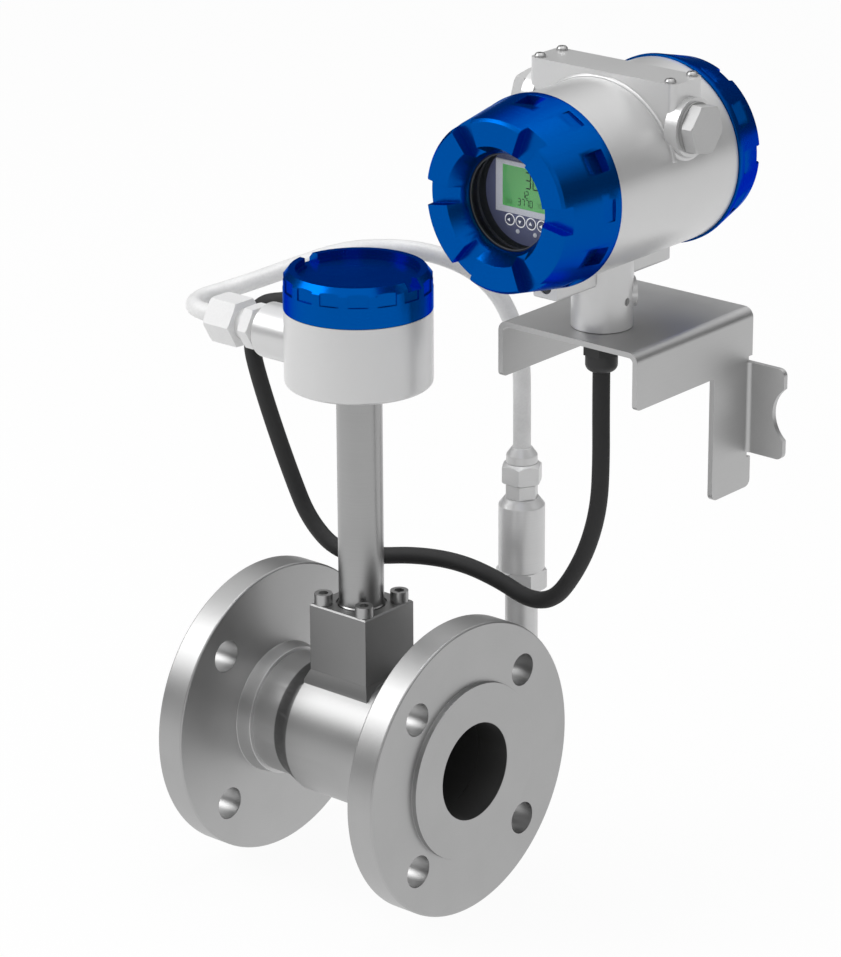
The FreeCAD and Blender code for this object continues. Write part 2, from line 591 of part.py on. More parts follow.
middle_neck = rod("middle_neck", "groove_r", "upper_hex_low-middle_hex_low",
    (tap_x, "sensor_y", "middle_hex_low"))
node(fused("pressure_gland_body", [middle_hex, middle_neck]), "pressure_gland_body")
node(turned("pressure_sensor_body", [
    ("0", "sensor_low"), ("sensor_r", "sensor_low"), ("sensor_r", "sensor_shoulder"),
    ("middle_hex_r", "middle_hex_low"), ("0", "middle_hex_low"),
], sensor_at), "pressure_sensor_body")
node(bevelled("pressure_sensor_hex", "lower_hex_r", "sensor_low-lower_hex_low",
              (tap_x, "sensor_y", "lower_hex_low"), spin=amount("sensor_spin")), "pressure_sensor_hex")


def siphon(name, radius, spare):
    """Down pipe, quarter bend and level pipe to the tube's tap, as one solid."""
    down = rod(name + "_down", radius, "lower_hex_low-siphon_bend+%s" % spare,
        (tap_x, "sensor_y", "siphon_bend"))
    bend = doc.addObject("Part::Torus", name + "_bend")
    bind(bend, "Radius1", "siphon_bend")
    bind(bend, "Radius2", radius)
    bend.Angle3 = 90
    place(bend, (tap_x, "sensor_y-siphon_bend", "siphon_bend"))
    bend.Placement = Placement(bend.Placement.Base,
                               Rotation(Vector(0, 1, 0), Vector(0, 0, -1), Vector(-1, 0, 0), "XYZ"))
    level = rod(name + "_level", radius, "sensor_y-siphon_bend-tap_face+%s" % spare,
                (tap_x, "tap_face-%s" % spare, "0"), "+y")
    return fused(name, [down, bend, level])


node(less("siphon_pipe", siphon("siphon_outside", "siphon_r", "0"),
    [siphon("siphon_way", "siphon_bore_r", "1")]),
     "siphon_pipe")

# Bracket, folded from one sheet

bracket_right = "(%s+bracket_reach)" % head_x
bracket_left = "(%s-bracket_wide)" % bracket_right
bracket_rear = "(bracket_front+bracket_deep)"
channel = doc.addObject("PartDesign::Body", "bracket_channel")
channel_shape = outline(sketch_on(channel, "bracket_fold", "XZ_Plane"), [
    ("0", "0"), ("bracket_wide", "0"), ("bracket_wide", "-flange_drop"),
    ("bracket_wide-sheet", "-flange_drop"),
    ("bracket_wide-sheet", "-sheet"), ("sheet", "-sheet"), ("sheet", "-flange_drop"), ("0", "-flange_drop"),
])
channel_pad = channel.newObject("PartDesign::Pad", "bracket_run")
channel_pad.Profile = channel_shape
bind(channel_pad, "Length", "bracket_deep")
for label, depth, reach in (("outer_bends", "0", "bend_r+sheet"), ("inner_bends", "sheet", "bend_r")):
    rounded(channel, label, reach, lambda edge: abs(edge.BoundBox.ZMax + amount(depth)) < 1e-6
            and edge.BoundBox.YLength > 10 and edge.BoundBox.XLength < 1e-6)
rounded(channel, "flange_corners", "flange_corner_r",
    lambda edge: abs(edge.BoundBox.ZMax + amount("flange_drop"))
        < 1e-6 and edge.BoundBox.YLength < 1e-6 and edge.BoundBox.XLength > 1
        and (edge.BoundBox.YMax < -1 or edge.BoundBox.XMax < 10))
place(channel, (bracket_left, bracket_rear, "plate_top"))
leg = block("bracket_leg", ("sheet", "leg_wide", "leg_drop-flange_drop+bend_r"),
            (bracket_right + "-sheet", bracket_rear + "-leg_wide", "plate_top-leg_drop"))
tab = block("bracket_tab_blank", ("tab_reach+sheet", "sheet", "tab_top-tab_low"),
            (bracket_right + "-sheet", bracket_rear + "-sheet", "tab_low"))
tab_edge_x = amount(bracket_right + "+tab_reach")
tab_round = eased("bracket_tab", tab, "corner_r",
                  lambda edge: edge.BoundBox.YLength > 1 and edge.BoundBox.XMin > tab_edge_x - 1e-6)
leg_low = amount("plate_top-leg_drop")
leg_round = eased("bracket_leg_round", leg, "corner_r",
                  lambda edge: edge.BoundBox.XLength > 1 and edge.BoundBox.ZMax < leg_low + 1e-6)
web = block("bracket_tab_web", ("bend_r", "bend_r", "tab_top-tab_low"),
            (bracket_right, bracket_rear + "-sheet-bend_r", "tab_low"))
web_cut = rod("bracket_tab_bend", "bend_r", "tab_top-tab_low",
              (bracket_right + "+bend_r", bracket_rear + "-sheet-bend_r", "tab_low"))
bracket_cuts = [
    rod("saddle_notch", "saddle_r", "2*sheet",
        (bracket_right + "+tab_reach+saddle_r-saddle_bite", bracket_rear + "-1.5*sheet", "saddle_high"),
        "+y"),
    block("relief_below", ("3*sheet", "relief+1", "relief"),
          (bracket_right + "-2*sheet", bracket_rear + "-relief", "tab_low-relief")),
    block("relief_above", ("3*sheet", "relief+1", "relief"),
          (bracket_right + "-2*sheet", bracket_rear + "-relief", "tab_top")),
    rod("plate_hole", "plate_hole_r", "3*sheet", (head_x, "head_y", "plate_top-2*sheet")),
]
bracket = less("bracket", fused("bracket_sheet", [
    channel, leg_round, tab_round, less("bracket_tab_fillet", web, [web_cut])]), bracket_cuts)
node(bracket, "mounting_bracket")

# Neck joint and the cable gland below the plate

node(less("neck_bush", turned("neck_bush_blank", [
    ("bush_bore_r", "0"), ("bush_r", "0"), ("bush_r", "neck_screw_high-plate_top-bush_groove_high/2"),
    ("bush_r-bush_groove", "neck_screw_high-plate_top-bush_groove_high/2"),
    ("bush_r-bush_groove", "neck_screw_high-plate_top+bush_groove_high/2"),
    ("bush_r", "neck_screw_high-plate_top+bush_groove_high/2"), ("bush_r", "bush_high"),
    ("bush_bore_r", "bush_high"),
], (head_x, "head_y", "plate_top")), [
    rod("bush_tapping", "gland_post_r+thread_play", "gland_post_high+1.5",
    (head_x, "head_y", "plate_top-1")),
]), "neck_bush")
cap_hex_low = "(plate_top-sheet-cap_hex_high)"
cap_hex = hexagon("lead_gland_hex", "cap_hex_r", "cap_hex_high", (head_x, "head_y", cap_hex_low))
post = rod("lead_gland_post", "gland_post_r", "sheet+gland_post_high+1",
    (head_x, "head_y", "plate_top-sheet-1"))
post_bore = rod("lead_gland_way", "post_bore_r", "sheet+gland_post_high+1",
    (head_x, "head_y", "plate_top-sheet"))
node(less("lead_gland_body", fused("lead_gland_blank", [cap_hex, post]), [post_bore]), "lead_gland_body")
dome_low = "(%s-dome_high)" % cap_hex_low
dome = turned("lead_gland_dome", [
    ("0", "-dome_high"), ("dome_r", "-dome_high"), ("dome_r", "0"), ("0", "0"),
], (head_x, "head_y", cap_hex_low))
rounded(dome, "dome_round", "dome_edge_r", lambda edge: abs(edge.BoundBox.ZMax + amount("dome_high")) < 1e-6)
node(dome, "lead_gland_dome_nut")

# Transmitter housing

head_at = (head_x, "head_y", "head_high")
barrel = turned("barrel", [
    ("0", "-barrel_half-rim_len"), ("rim_r", "-barrel_half-rim_len"), ("rim_r", "-barrel_half"),
    ("barrel_r", "-barrel_half"), ("barrel_r", "barrel_half"), ("rim_r", "barrel_half"),
    ("rim_r", "barrel_half+rim_len"), ("0", "barrel_half+rim_len"),
], head_at, "-y")
bridge_y = "(head_y+bridge_back)"
bridge_block = block("bridge_block", ("2*bridge_half", "bridge_wide", "bridge_high-bridge_low"),
                     (head_x + "-bridge_half", bridge_y + "-bridge_wide/2", "head_high+bridge_low"))
bridge = eased("bridge_round", bridge_block, "bridge_corner_r", upright)
neck_low = "(plate_top+neck_lift)"
neck = rod("housing_neck", "housing_neck_r", "head_high-chamber_r-%s" % neck_low,
    (head_x, "head_y", neck_low))
neck_boss = rod("neck_boss", "neck_boss_r", "neck_boss_reach", (head_x, "head_y", "neck_boss_high"), "+x",
                amount("neck_boss_angle"))
housing_parts = [barrel, bridge, neck, neck_boss]
for name, start in (("front", "head_y-bar_front"), ("rear", "head_y+bar_gap")):
    rail = block(name + "_bar_blank", ("bar_wide", "bar_front-bar_gap", "bar_low-chamber_r"),
                 (head_x + "-bar_wide/2", start, "head_high-bar_low"))
    low = amount("head_high-bar_low")
    housing_parts.append(eased(name + "_bar", rail, "bar_corner_r",
                               lambda edge: edge.BoundBox.ZMax < low + 1e-6))
for side, axis in ((-1, "-x"), (1, "+x")):
    housing_parts.append(rod("conduit_boss_%s" % axis[1:] + str(side + 1), "conduit_boss_r",
                             "bridge_corner_r+conduit_boss",
                             (head_x + "+%d*(bridge_half-bridge_corner_r)" % side, bridge_y,
                              "head_high+conduit_high"), axis))
for name, face in (("front", bridge_y + "-bridge_wide/2"), ("rear", bridge_y + "+bridge_wide/2")):
    housing_parts.append(ring_bar(name + "_bead", "barrel_r", "bead_r", (head_x, face, "head_high"), "-y",
                                  amount("bead_from"), amount("bead_sweep")))
housing_cuts = [
    rod("front_chamber", "chamber_r", "barrel_half+rim_len-wall_front+1",
        (head_x, "head_y-wall_front", "head_high"), "-y"),
    rod("rear_chamber", "chamber_r", "barrel_half+rim_len+wall_front-wall_thick+1",
        (head_x, "head_y-wall_front+wall_thick", "head_high"), "+y"),
    rod("conduit_way", "conduit_r", "2*(bridge_half+conduit_boss)+2",
        (head_x + "-bridge_half-conduit_boss-1", bridge_y, "head_high+conduit_high"), "+x"),
    rod("neck_socket", "bush_r+neck_play", "socket_high+1", (head_x, "head_y", neck_low + "-1")),
    rod("neck_way", "neck_bore_r", "head_high-%s" % neck_low, (head_x, "head_y", neck_low)),
    rod("neck_screw_way", "neck_screw_r+thread_play", "housing_neck_r+1",
    (head_x, "head_y", "neck_screw_high"),
        "+x"),
    rod("bar_hole", "bar_hole_r", "bar_hole_deep+1",
        (head_x, "head_y-bar_front-1", "head_high-bar_low+bar_hole_high"), "+y"),
]
housing_cuts.append(block("lid_seat", ("2*bridge_half", "bridge_wide+4*bead_r", "2*bead_r"), (
    head_x + "-bridge_half", bridge_y + "-bridge_wide/2-2*bead_r", "head_high+bridge_high")))
lid_corners = [("%d*lid_screw_x" % side_x, "%d*lid_screw_y" % side_y) for side_x, side_y in corners]
for count, (off_x, off_y) in enumerate(lid_corners):
    housing_cuts.append(rod("lid_tapping_%d" % count, "lid_screw_r+thread_play", "lid_screw_len+1",
                            (head_x + "+" + off_x, bridge_y + "+" + off_y,
                            "head_high+bridge_high-lid_screw_len")))
housing_body = less("housing_body", fused("housing_outside", housing_parts), housing_cuts)
posts = []
for count in range(3):
    angle = 90 + 120 * count
    posts.append(rod("board_post_%d" % count, "post_r", "board_at-wall_front+1", (
        head_x + "+post_circle_r*cos(%d)" % angle, "head_y-wall_front+1",
        "head_high+post_circle_r*sin(%d)" % angle), "-y"))
node(fused("transmitter_housing", [housing_body] + posts), "transmitter_housing")

lid_blank = block("lid_blank", ("2*bridge_half", "bridge_wide", "lid_thick"),
                  (head_x + "-bridge_half", bridge_y + "-bridge_wide/2", "head_high+bridge_high"))
lid_round = eased("lid_round", lid_blank, "bridge_corner_r", upright)
lid_top = "(head_high+bridge_high+lid_thick)"
lid_holes = []
lid_screws = []
for count, (off_x, off_y) in enumerate(lid_corners):
    spot = (head_x + "+" + off_x, bridge_y + "+" + off_y)
    lid_holes.append(rod("lid_hole_%d" % count, "lid_screw_r+2*thread_play", "lid_thick+2",
                         spot + ("head_high+bridge_high-1",)))
    stalk = rod("lid_stalk_%d" % count, "lid_screw_r", "lid_thick+lid_screw_len-1",
                spot + (lid_top + "-lid_thick-lid_screw_len+1",))
    pan = turned("lid_pan_%d" % count, [
        ("0", "0"), ("lid_head_r", "0"), ("lid_head_r", "lid_head_high*0.45"),
        ("lid_head_r*0.72", "lid_head_high*0.9"), ("lid_head_r*0.4", "lid_head_high"),
        ("0", "lid_head_high"),
    ], spot + (lid_top,))
    cross = [block("lid_cross_%d_%d" % (count, k), size, (
        spot[0] + "-(%s)/2" % size[0], spot[1] + "-(%s)/2" % size[1], lid_top + "+lid_head_high*0.45"))
        for k, size in enumerate((("lid_head_r", "lid_head_r*0.22", "lid_head_high"),
                                  ("lid_head_r*0.22", "lid_head_r", "lid_head_high")))]
    lid_screws.append(less("lid_screw_%d" % count, fused("lid_screw_blank_%d" % count, [stalk, pan]),
        cross))
node(less("bridge_lid", lid_round, lid_holes), "bridge_lid")
node(grouped("bridge_lid_screws", lid_screws), "bridge_lid_screws")
node(rod("neck_set_screw", "neck_screw_r", "neck_screw_len",
         (head_x + "+bush_r-bush_groove+neck_screw_gap", "head_y", "neck_screw_high"), "+x"),
         "neck_set_screw")

for name, side, axis in (("left", -1, "-x"), ("right", 1, "+x")):
    face = "(bridge_half+conduit_boss)"
    at = (head_x + "+%d*%s" % (side, face), bridge_y, "head_high+conduit_high")
    outer = (head_x + "+%d*(%s+washer_thick)" % (side, face), bridge_y, "head_high+conduit_high")
    inner = (head_x + "+%d*(%s-plug_shank)" % (side, face), bridge_y, "head_high+conduit_high")
    washer = rod(name + "_washer_blank", "washer_r", "washer_thick", at, axis)
    washer_hole = rod(name + "_washer_hole", "conduit_r", "washer_thick+2",
                      (head_x + "+%d*(%s-1)" % (side, face), bridge_y, "head_high+conduit_high"), axis)
    node(less("plug_washer_" + name, washer, [washer_hole]), "plug_washer_" + name)
    head = bevelled(name + "_plug_head", "plug_hex_r", "plug_hex_len", outer, axis, amount("plug_spin"))
    shank = rod(name + "_plug_shank", "conduit_r-thread_play", "plug_shank+washer_thick+1", inner, axis)
    node(fused("blanking_plug_" + name, [head, shank]), "blanking_plug_" + name)

# Screw covers, their rings and the window

cover_start = "(barrel_half+cover_gap)"
front_cover_at = (head_x, "head_y-" + cover_start, "head_high")
rear_cover_at = (head_x, "head_y+" + cover_start, "head_high")
ring_room = "(2*(ring_r+ring_play))"
cover_bore_r = "(rim_r+thread_play)"
rim_profile = [("rim_r+" + ring_room, "0"), ("cover_rim_r", "0"), ("cover_rim_r", "cover_rim")]
bore_profile = [(cover_bore_r, "cover_bore_end"), (cover_bore_r, ring_room),
    ("rim_r+" + ring_room, ring_room)]
front_cover = turned("front_cover", rim_profile + [
    ("cover_nose_r", "front_face-nose_chamfer"), ("cover_nose_r-nose_chamfer", "front_face"),
    ("dish_r", "front_face"), ("window_r", "window_front"),
    ("window_r", "glass_seat"), ("glass_r+glass_play", "glass_seat"), ("glass_r+glass_play", "inner_shelf"),
    ("inner_r", "inner_shelf"), ("inner_r", "cover_bore_end"),
] + bore_profile, front_cover_at, "-y")
rear_cover = turned("rear_cover", rim_profile + [
    ("cover_nose_r", "rear_face-nose_chamfer"), ("cover_nose_r-nose_chamfer", "rear_face"),
    ("rear_dish_r", "rear_face"), ("rear_dish_r", "rear_dish"), ("0", "rear_dish"), ("0", "rear_ceiling"),
    ("inner_r", "rear_ceiling"), ("inner_r", "cover_bore_end"),
] + bore_profile, rear_cover_at, "+y")
pockets(front_cover, "front_notches", "front_face+1", "notch_deep+1", "window_r", "cover_rim_r",
    "notch_wide",
        "notch_count", 0, "notch_flare")
pockets(rear_cover, "rear_notches", "rear_face+1", "rear_notch_deep+1", "rear_dish_r-1", "cover_rim_r",
        "rear_notch_wide", "notch_count", 0, "rear_notch_flare")
for cover, length in ((front_cover, "dimple_len"), (rear_cover, "rear_dimple_len")):
    wedges(cover, cover.Name + "_grips", "pocket_start", "pocket_run", "rim_r+pocket_floor",
        "cover_rim_r+1",
           "pocket_wide", "notch_count", 180 / amount("notch_count"))
    pockets(cover, cover.Name + "_dimples", "pocket_start+" + length, length, "rim_r+dimple_floor",
        "cover_rim_r+1",
            "pocket_wide", "notch_count")
    node(cover, cover.Name)
for name, axis, side in (("front", "-y", -1), ("rear", "+y", 1)):
    node(ring_bar(name + "_cover_seal", "rim_r+ring_play+ring_r", "ring_r",
                  (head_x, "head_y+%d*(barrel_half+ring_play+ring_r)" % side, "head_high"), axis),
         name + "_cover_seal")


def disc(name, outer, inner, near, thick):
    """Flat ring or disc about the barrel's axis, at a distance in front of its centre."""
    rim = [(inner, near), (outer, near), (outer, "%s+%s" % (near, thick)), (inner, "%s+%s" % (near, thick))]
    return turned(name, rim, head_at, "-y")


seal_back = "(%s+glass_seat-window_seal_thick)" % cover_start
glass_back = "(%s-glass_thick)" % seal_back
node(disc("window_seal", "glass_r", "window_seal_r", seal_back, "window_seal_thick"), "window_seal")
node(disc("window_glass", "glass_r", "0", glass_back, "glass_thick"), "window_glass")
node(disc("window_retainer", "glass_r", "retainer_r", glass_back + "-retainer_thick", "retainer_thick"),
     "window_retainer")

# Display and electronics

dial_back = "(dial_front-dial_thick)"
module_back = "(board_at+board_thick)"
node(disc("circuit_board", "board_r", "0", "board_at", "board_thick"), "circuit_board")
node(turned("display_module", [
    ("0", dial_back), ("module_r", dial_back), ("module_r", module_back),
    ("module_r-module_wall", module_back),
    ("module_r-module_wall", dial_back + "-module_wall"), ("0", dial_back + "-module_wall"),
], head_at, "-y"), "display_module")
key_spots = [(head_x + "+key_pitch*%g" % step, "head_high-key_down") for step in (-1.5, -0.5, 0.5, 1.5)]
key_holes = [rod("key_hole_%d" % count, "key_r+key_play", "dial_thick+2",
                 (across, "head_y-%s+1" % dial_back, up), "-y") for count,
                 (across, up) in enumerate(key_spots)]
node(less("display_plate", disc("dial_blank", "dial_r", "0", dial_back, "dial_thick"), key_holes),
    "display_plate")
for count, (across, up) in enumerate(key_spots):
    node(rod("key_%d" % (count + 1), "key_r", "key_sunk+key_proud",
        (across, "head_y-dial_front+key_sunk", up), "-y"),
         "key_%d" % (count + 1))
bezel_blank = block("bezel_blank", ("bezel_wide", "bezel_thick", "bezel_high"), (
    head_x + "-bezel_wide/2", "head_y-dial_front-bezel_thick", "head_high+bezel_up-bezel_high/2"))
bezel_hole = block("bezel_hole", ("glass_wide", "bezel_thick+2", "glass_high"), (
    head_x + "-glass_wide/2", "head_y-dial_front-bezel_thick-1", "head_high+glass_up-glass_high/2"))
node(less("display_bezel", bezel_blank, [bezel_hole]), "display_bezel")
node(block("display_glass", ("glass_wide", "panel_thick", "glass_high"), (
    head_x + "-glass_wide/2", "head_y-dial_front-panel_thick", "head_high+glass_up-glass_high/2")),
    "display_glass")

wall_rear = "(head_y-wall_front+wall_thick)"
block_body = block("rear_block_body", ("block_len", "block_deep", "block_high"), (
    head_x + "-block_len/2", wall_rear, "head_high+block_up-block_high/2"))
block_pits = []
for count in range(int(amount("block_ways"))):
    block_pits.append(rod("rear_pit_%d" % count, "block_pit_r", "block_pit_deep+1", (
        head_x + "+block_len*(%d+0.5-block_ways/2)/block_ways" % count,
        wall_rear + "+block_deep-block_pit_deep",
        "head_high+block_up"), "+y"))
node(less("rear_terminal_block", block_body, block_pits), "rear_terminal_block")

# Leads. Their routes are points chosen along the run, each joined by straight runs and tangent arcs.


def lead(name, radius, route):
    """Round lead along a route, with an arc at each of its inner points."""
    points = [Vector(*spot) for spot in route]
    edges = []
    here = points[0]
    bends = []
    for before, corner, after in zip(points, points[1:], points[2:]):
        back, ahead = before - corner, after - corner
        trim = 0.45 * min(back.Length, ahead.Length)
        turn = math.pi - back.getAngle(ahead)
        bends.append(trim / math.tan(turn / 2))
        back.normalize()
        ahead.normalize()
        start, end = corner + back * trim, corner + ahead * trim
        middle_way = back + ahead
        middle_way.normalize()
        sag = bends[-1] / math.cos(turn / 2) - bends[-1]
        edges.append(Part.LineSegment(here, start).toShape())
        edges.append(Part.Arc(start, corner + middle_way * sag, end).toShape())
        here = end
    edges.append(Part.LineSegment(here, points[-1]).toShape())
    path = Part.Wire(edges)
    section = Part.Wire(Part.makeCircle(radius, points[0], points[1] - points[0]))
    item = doc.addObject("Part::Feature", name)
    item.Shape = path.makePipeShell([section], True, True)
    ideal = math.pi * radius ** 2 * path.Length
    print("%s: %.0f mm long, smallest bend %.1f mm, volume / ideal %.4f, radii %s" % (
        name, path.Length, min(bends), item.Shape.Volume / ideal,
        " ".join("%.0f" % bend for bend in bends)))
    return node(item, name)


def exit_point(name, angle):
    return tuple(amount(text) for text in along(angle, nut_end[name]))


sensor_lead_route = [
    exit_point("sensor", 180), (-34, 0, 220.5), (-46, 5, 220.5), (-51, 18, 221), (-45, 31, 223),
    (-29, 40, 230),
    (-6, 47, 241), (19, 55, 252.3), (43, 64, 257), (65, 76, 256), (83, 90, 247), (95, 99, 233),
    (103, 103, 215),
    (107.6, 104, 195), (amount(tap_x), amount("sensor_y"), 170),
    (amount(tap_x), amount("sensor_y"), amount("cone_top")),
]
signal_lead_route = [
    exit_point("signal", amount("rear_entry_angle")), (-7, 60.9, 220.5), (-22, 64, 214), (-53, 63.5, 206),
    (-55.5, 62, 182), (-50, 61.5, 165), (-36, 58.5, 139), (-20.5, 56, 112), (-7, 55, 89),
    (14, 55, 74.5), (39, 58, 77), (66, 63, 83), (95, 66, 85), (123, 65, 82), (147, 62.5, 76.5),
    (165, 61, 82),
    (178, 60, 98), (189, 60, 119), (196, 60, 144), (197, 60, 171), (amount(head_x), amount("head_y"), 197),
    (amount(head_x), amount("head_y"), amount(dome_low)),
]
lead("sensor_lead", amount("sensor_lead_r"), sensor_lead_route)
lead("signal_lead", amount("signal_lead_r"), signal_lead_route)

doc.recompute()
failed = [item.Label for item in doc.Objects if {"Invalid", "Error"} & set(item.State)]
failed += [item.Label for item in nodes if item.Shape.isNull() or not item.Shape.isValid()]
if failed:
    raise RuntimeError("not built: " + ", ".join(failed))
os.makedirs("parts", exist_ok=True)
for item in nodes:
    item.Shape.exportStep("parts/%s.step" % item.Label)
    print("%-24s %d solid(s) %10.1f mm3" % (item.Label, len(item.Shape.Solids), item.Shape.Volume))
print("%d nodes" % len(nodes))
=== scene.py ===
import bmesh
import bpy
import json
import math
from mathutils import Matrix, Vector

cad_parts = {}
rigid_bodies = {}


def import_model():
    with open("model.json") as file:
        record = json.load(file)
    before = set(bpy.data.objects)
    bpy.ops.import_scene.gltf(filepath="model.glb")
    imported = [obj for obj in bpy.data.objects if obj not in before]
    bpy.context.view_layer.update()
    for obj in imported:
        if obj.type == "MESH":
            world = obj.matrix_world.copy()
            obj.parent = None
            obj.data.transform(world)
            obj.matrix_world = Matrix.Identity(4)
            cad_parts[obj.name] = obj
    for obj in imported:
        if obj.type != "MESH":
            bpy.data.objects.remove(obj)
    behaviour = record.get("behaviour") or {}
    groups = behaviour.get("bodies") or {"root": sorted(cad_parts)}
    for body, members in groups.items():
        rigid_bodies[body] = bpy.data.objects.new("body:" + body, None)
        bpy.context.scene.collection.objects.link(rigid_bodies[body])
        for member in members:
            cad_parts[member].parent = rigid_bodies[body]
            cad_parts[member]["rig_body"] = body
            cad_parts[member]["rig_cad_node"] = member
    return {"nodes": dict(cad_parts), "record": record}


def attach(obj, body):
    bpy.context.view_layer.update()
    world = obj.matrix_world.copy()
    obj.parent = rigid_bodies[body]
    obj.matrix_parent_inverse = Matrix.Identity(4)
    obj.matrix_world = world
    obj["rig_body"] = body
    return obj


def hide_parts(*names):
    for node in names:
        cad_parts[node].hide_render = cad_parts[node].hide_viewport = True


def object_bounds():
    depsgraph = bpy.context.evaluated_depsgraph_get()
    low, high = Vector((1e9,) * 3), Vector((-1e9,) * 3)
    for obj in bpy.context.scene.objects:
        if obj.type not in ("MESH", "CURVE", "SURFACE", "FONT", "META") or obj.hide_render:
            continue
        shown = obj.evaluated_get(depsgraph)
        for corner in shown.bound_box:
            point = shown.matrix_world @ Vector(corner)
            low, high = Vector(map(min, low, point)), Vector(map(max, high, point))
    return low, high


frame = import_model()
nodes = frame["nodes"]
bodyOf = {node: body for body, members in frame["record"]["behaviour"]["bodies"].items() for node in members}
slotOf = {row["node"]: row["material_slot"] for row in frame["record"]["subparts"]}
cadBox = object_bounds()
bpy.ops.object.select_all(action="DESELECT")
print("frame loaded:", len(nodes), "nodes")

# metres: x along the flow from the middle of the inlet's raised face, the display looks to -y, z is up
mm = 0.001
stemX, headX, headZ = 80 * mm, 196.5 * mm, 329.4 * mm
sensorX, sensorY = 108 * mm, 104 * mm


class Wire:
    # a socket that adds up, so that shader maths reads as plain Python
    def __init__(self, finish, out):
        self.finish, self.out = finish, out

    def maths(self, operation, *values):
        return self.finish.node("ShaderNodeMath", {"operation": operation}, dict(enumerate(values)))

    def __add__(self, other):
        return self.maths("ADD", self, other)

    def __radd__(self, other):
        return self.maths("ADD", other, self)

    def __sub__(self, other):
        return self.maths("SUBTRACT", self, other)

    def __rsub__(self, other):
        return self.maths("SUBTRACT", other, self)

    def __mul__(self, other):
        return self.maths("MULTIPLY", self, other)

    def __truediv__(self, other):
        return self.maths("DIVIDE", self, other)

    def between(self, low, high):
        # 0 at low, 1 at high and beyond
        return self.finish.node("ShaderNodeMapRange", {"clamp": True},
                                {"Value": self, "From Min": low, "From Max": high})


class Finish:
    # a Principled material with a node graph: fixed holds the sockets that stay constant
    def __init__(self, name, fixed):
        self.made = bpy.data.materials.new(name)
        self.made.use_nodes = True
        self.tree = self.made.node_tree
        self.shader = self.tree.nodes["Principled BSDF"]
        for socket, value in fixed.items():
            self.shader.inputs[socket].default_value = value

    def node(self, kind, settings=None, sockets=None, out=0):
        made = self.tree.nodes.new(kind)
        for key, value in (settings or {}).items():
            if key == "stops":
                while len(made.color_ramp.elements) < len(value):
                    made.color_ramp.elements.new(1)
                for element, (position, colour) in zip(made.color_ramp.elements, value):
                    element.position, element.color = position, colour
            else:
                setattr(made, key, value)
        for key, value in (sockets or {}).items():
            if isinstance(value, Wire):
                self.tree.links.new(value.out, made.inputs[key])
            else:
                made.inputs[key].default_value = value
        return Wire(self, made.outputs[out])

    def spot(self, centre=(0, 0, 0), turn=(0, 0, 0), stretch=(1, 1, 1)):
        here = self.node("ShaderNodeTexCoord", out="Object")
        moved = self.node("ShaderNodeVectorMath", {"operation": "SUBTRACT"}, {0: here, 1: centre})
        return self.node("ShaderNodeMapping", {}, {"Vector": moved, "Rotation": turn, "Scale": stretch})

    def noise(self, spot, scale, detail=3.0, rough=0.5):
        return self.node("ShaderNodeTexNoise", {},
                         {"Vector": spot, "Scale": scale, "Detail": detail, "Roughness": rough})

    def lines(self, along, scale, detail=2.0):
        return self.node("ShaderNodeTexNoise", {"noise_dimensions": "1D"},
                         {"W": along, "Scale": scale, "Detail": detail})

    def mixed(self, factor, first, second):
        return self.node("ShaderNodeMix", {"data_type": "RGBA"}, {0: factor, 6: first, 7: second}, out=2)

    def feed(self, socket, wire):
        self.tree.links.new(wire.out, self.shader.inputs[socket])

    def bump(self, height, depth):
        self.feed("Normal", self.node("ShaderNodeBump", {}, {"Height": height, "Distance": depth}))


def tone(colour, factor=1.0):
    return (*[min(1, channel * factor) for channel in colour], 1)


def turnedSteel(name, colour, centre, across, roughness, pitch, depth, metal=1.0, stops=None, boreShadeTo=0, seat=None):
    # lathe-turned: fine rings round an axis, slightly uneven tone; stops give painted light and shade, bands of tone
    # along the axis in mm, what lies within the bore radius of the axis is duller and painted dark as shade, and a
    # milled seat above the axis is greyer
    paint = Finish(name, {"Metallic": metal})
    spot = paint.spot(centre)
    level = paint.node("ShaderNodeVectorMath", {"operation": "MULTIPLY"}, {0: spot, 1: across})
    radius = paint.node("ShaderNodeVectorMath", {"operation": "LENGTH"}, {0: level}, out=1)
    alongAxis = paint.node("ShaderNodeVectorMath", {"operation": "DOT_PRODUCT"},
                           {0: spot, 1: tuple(1 - value for value in across)}, out=1)
    run = radius + alongAxis
    rings = paint.lines(run, 1 / pitch)
    cloud = paint.noise(spot, 35, 4)
    speck = paint.noise(spot, 1400, 2)
    shown = paint.mixed(cloud * 0.7 + rings * 0.3, tone(colour, 0.88), tone(colour, 1.1))
    dull = 0
    if stops:
        # painted light and shade: the steel is made lighter or darker in bands along the axis
        low, high = stops[0][0] * mm, stops[-1][0] * mm
        shadeGreys = [((at * mm - low) / (high - low), tone((grey,) * 3)) for at, grey in stops]
        shadeBands = paint.node("ShaderNodeValToRGB", {"stops": shadeGreys}, {0: (alongAxis - low) / (high - low)})
        shown = paint.node("ShaderNodeVectorMath", {"operation": "MULTIPLY"}, {0: shown, 1: shadeBands})
    if seat:
        x, y, z = [paint.node("ShaderNodeSeparateXYZ", {}, {0: spot}, out=axis) for axis in range(3)]
        soft = 0.05 * mm
        milled = (x.between(seat["from"] - soft, seat["from"]) * x.between(seat["to"] + soft, seat["to"])
                  * y.maths("ABSOLUTE", y).between(seat["half"] + soft, seat["half"])
                  * z.between(seat["low"] - soft, seat["low"]))
        shown = paint.mixed(milled, shown, tone((seat["grey"],) * 3))
    if boreShadeTo:
        # painted shade: the inside of the bore is darkened, and it is also made duller
        boreShade = 1 - radius.between(boreShadeTo - 0.2 * mm, boreShadeTo + 0.1 * mm)
        shown = paint.mixed(boreShade, shown, tone(colour, 0.3))
        dull = boreShade * 0.15
    paint.feed("Base Color", shown)
    paint.feed("Roughness", roughness - 0.05 + rings * 0.06 + cloud * 0.05 + dull)
    paint.bump(rings + speck * 0.4, depth)
    return paint.made


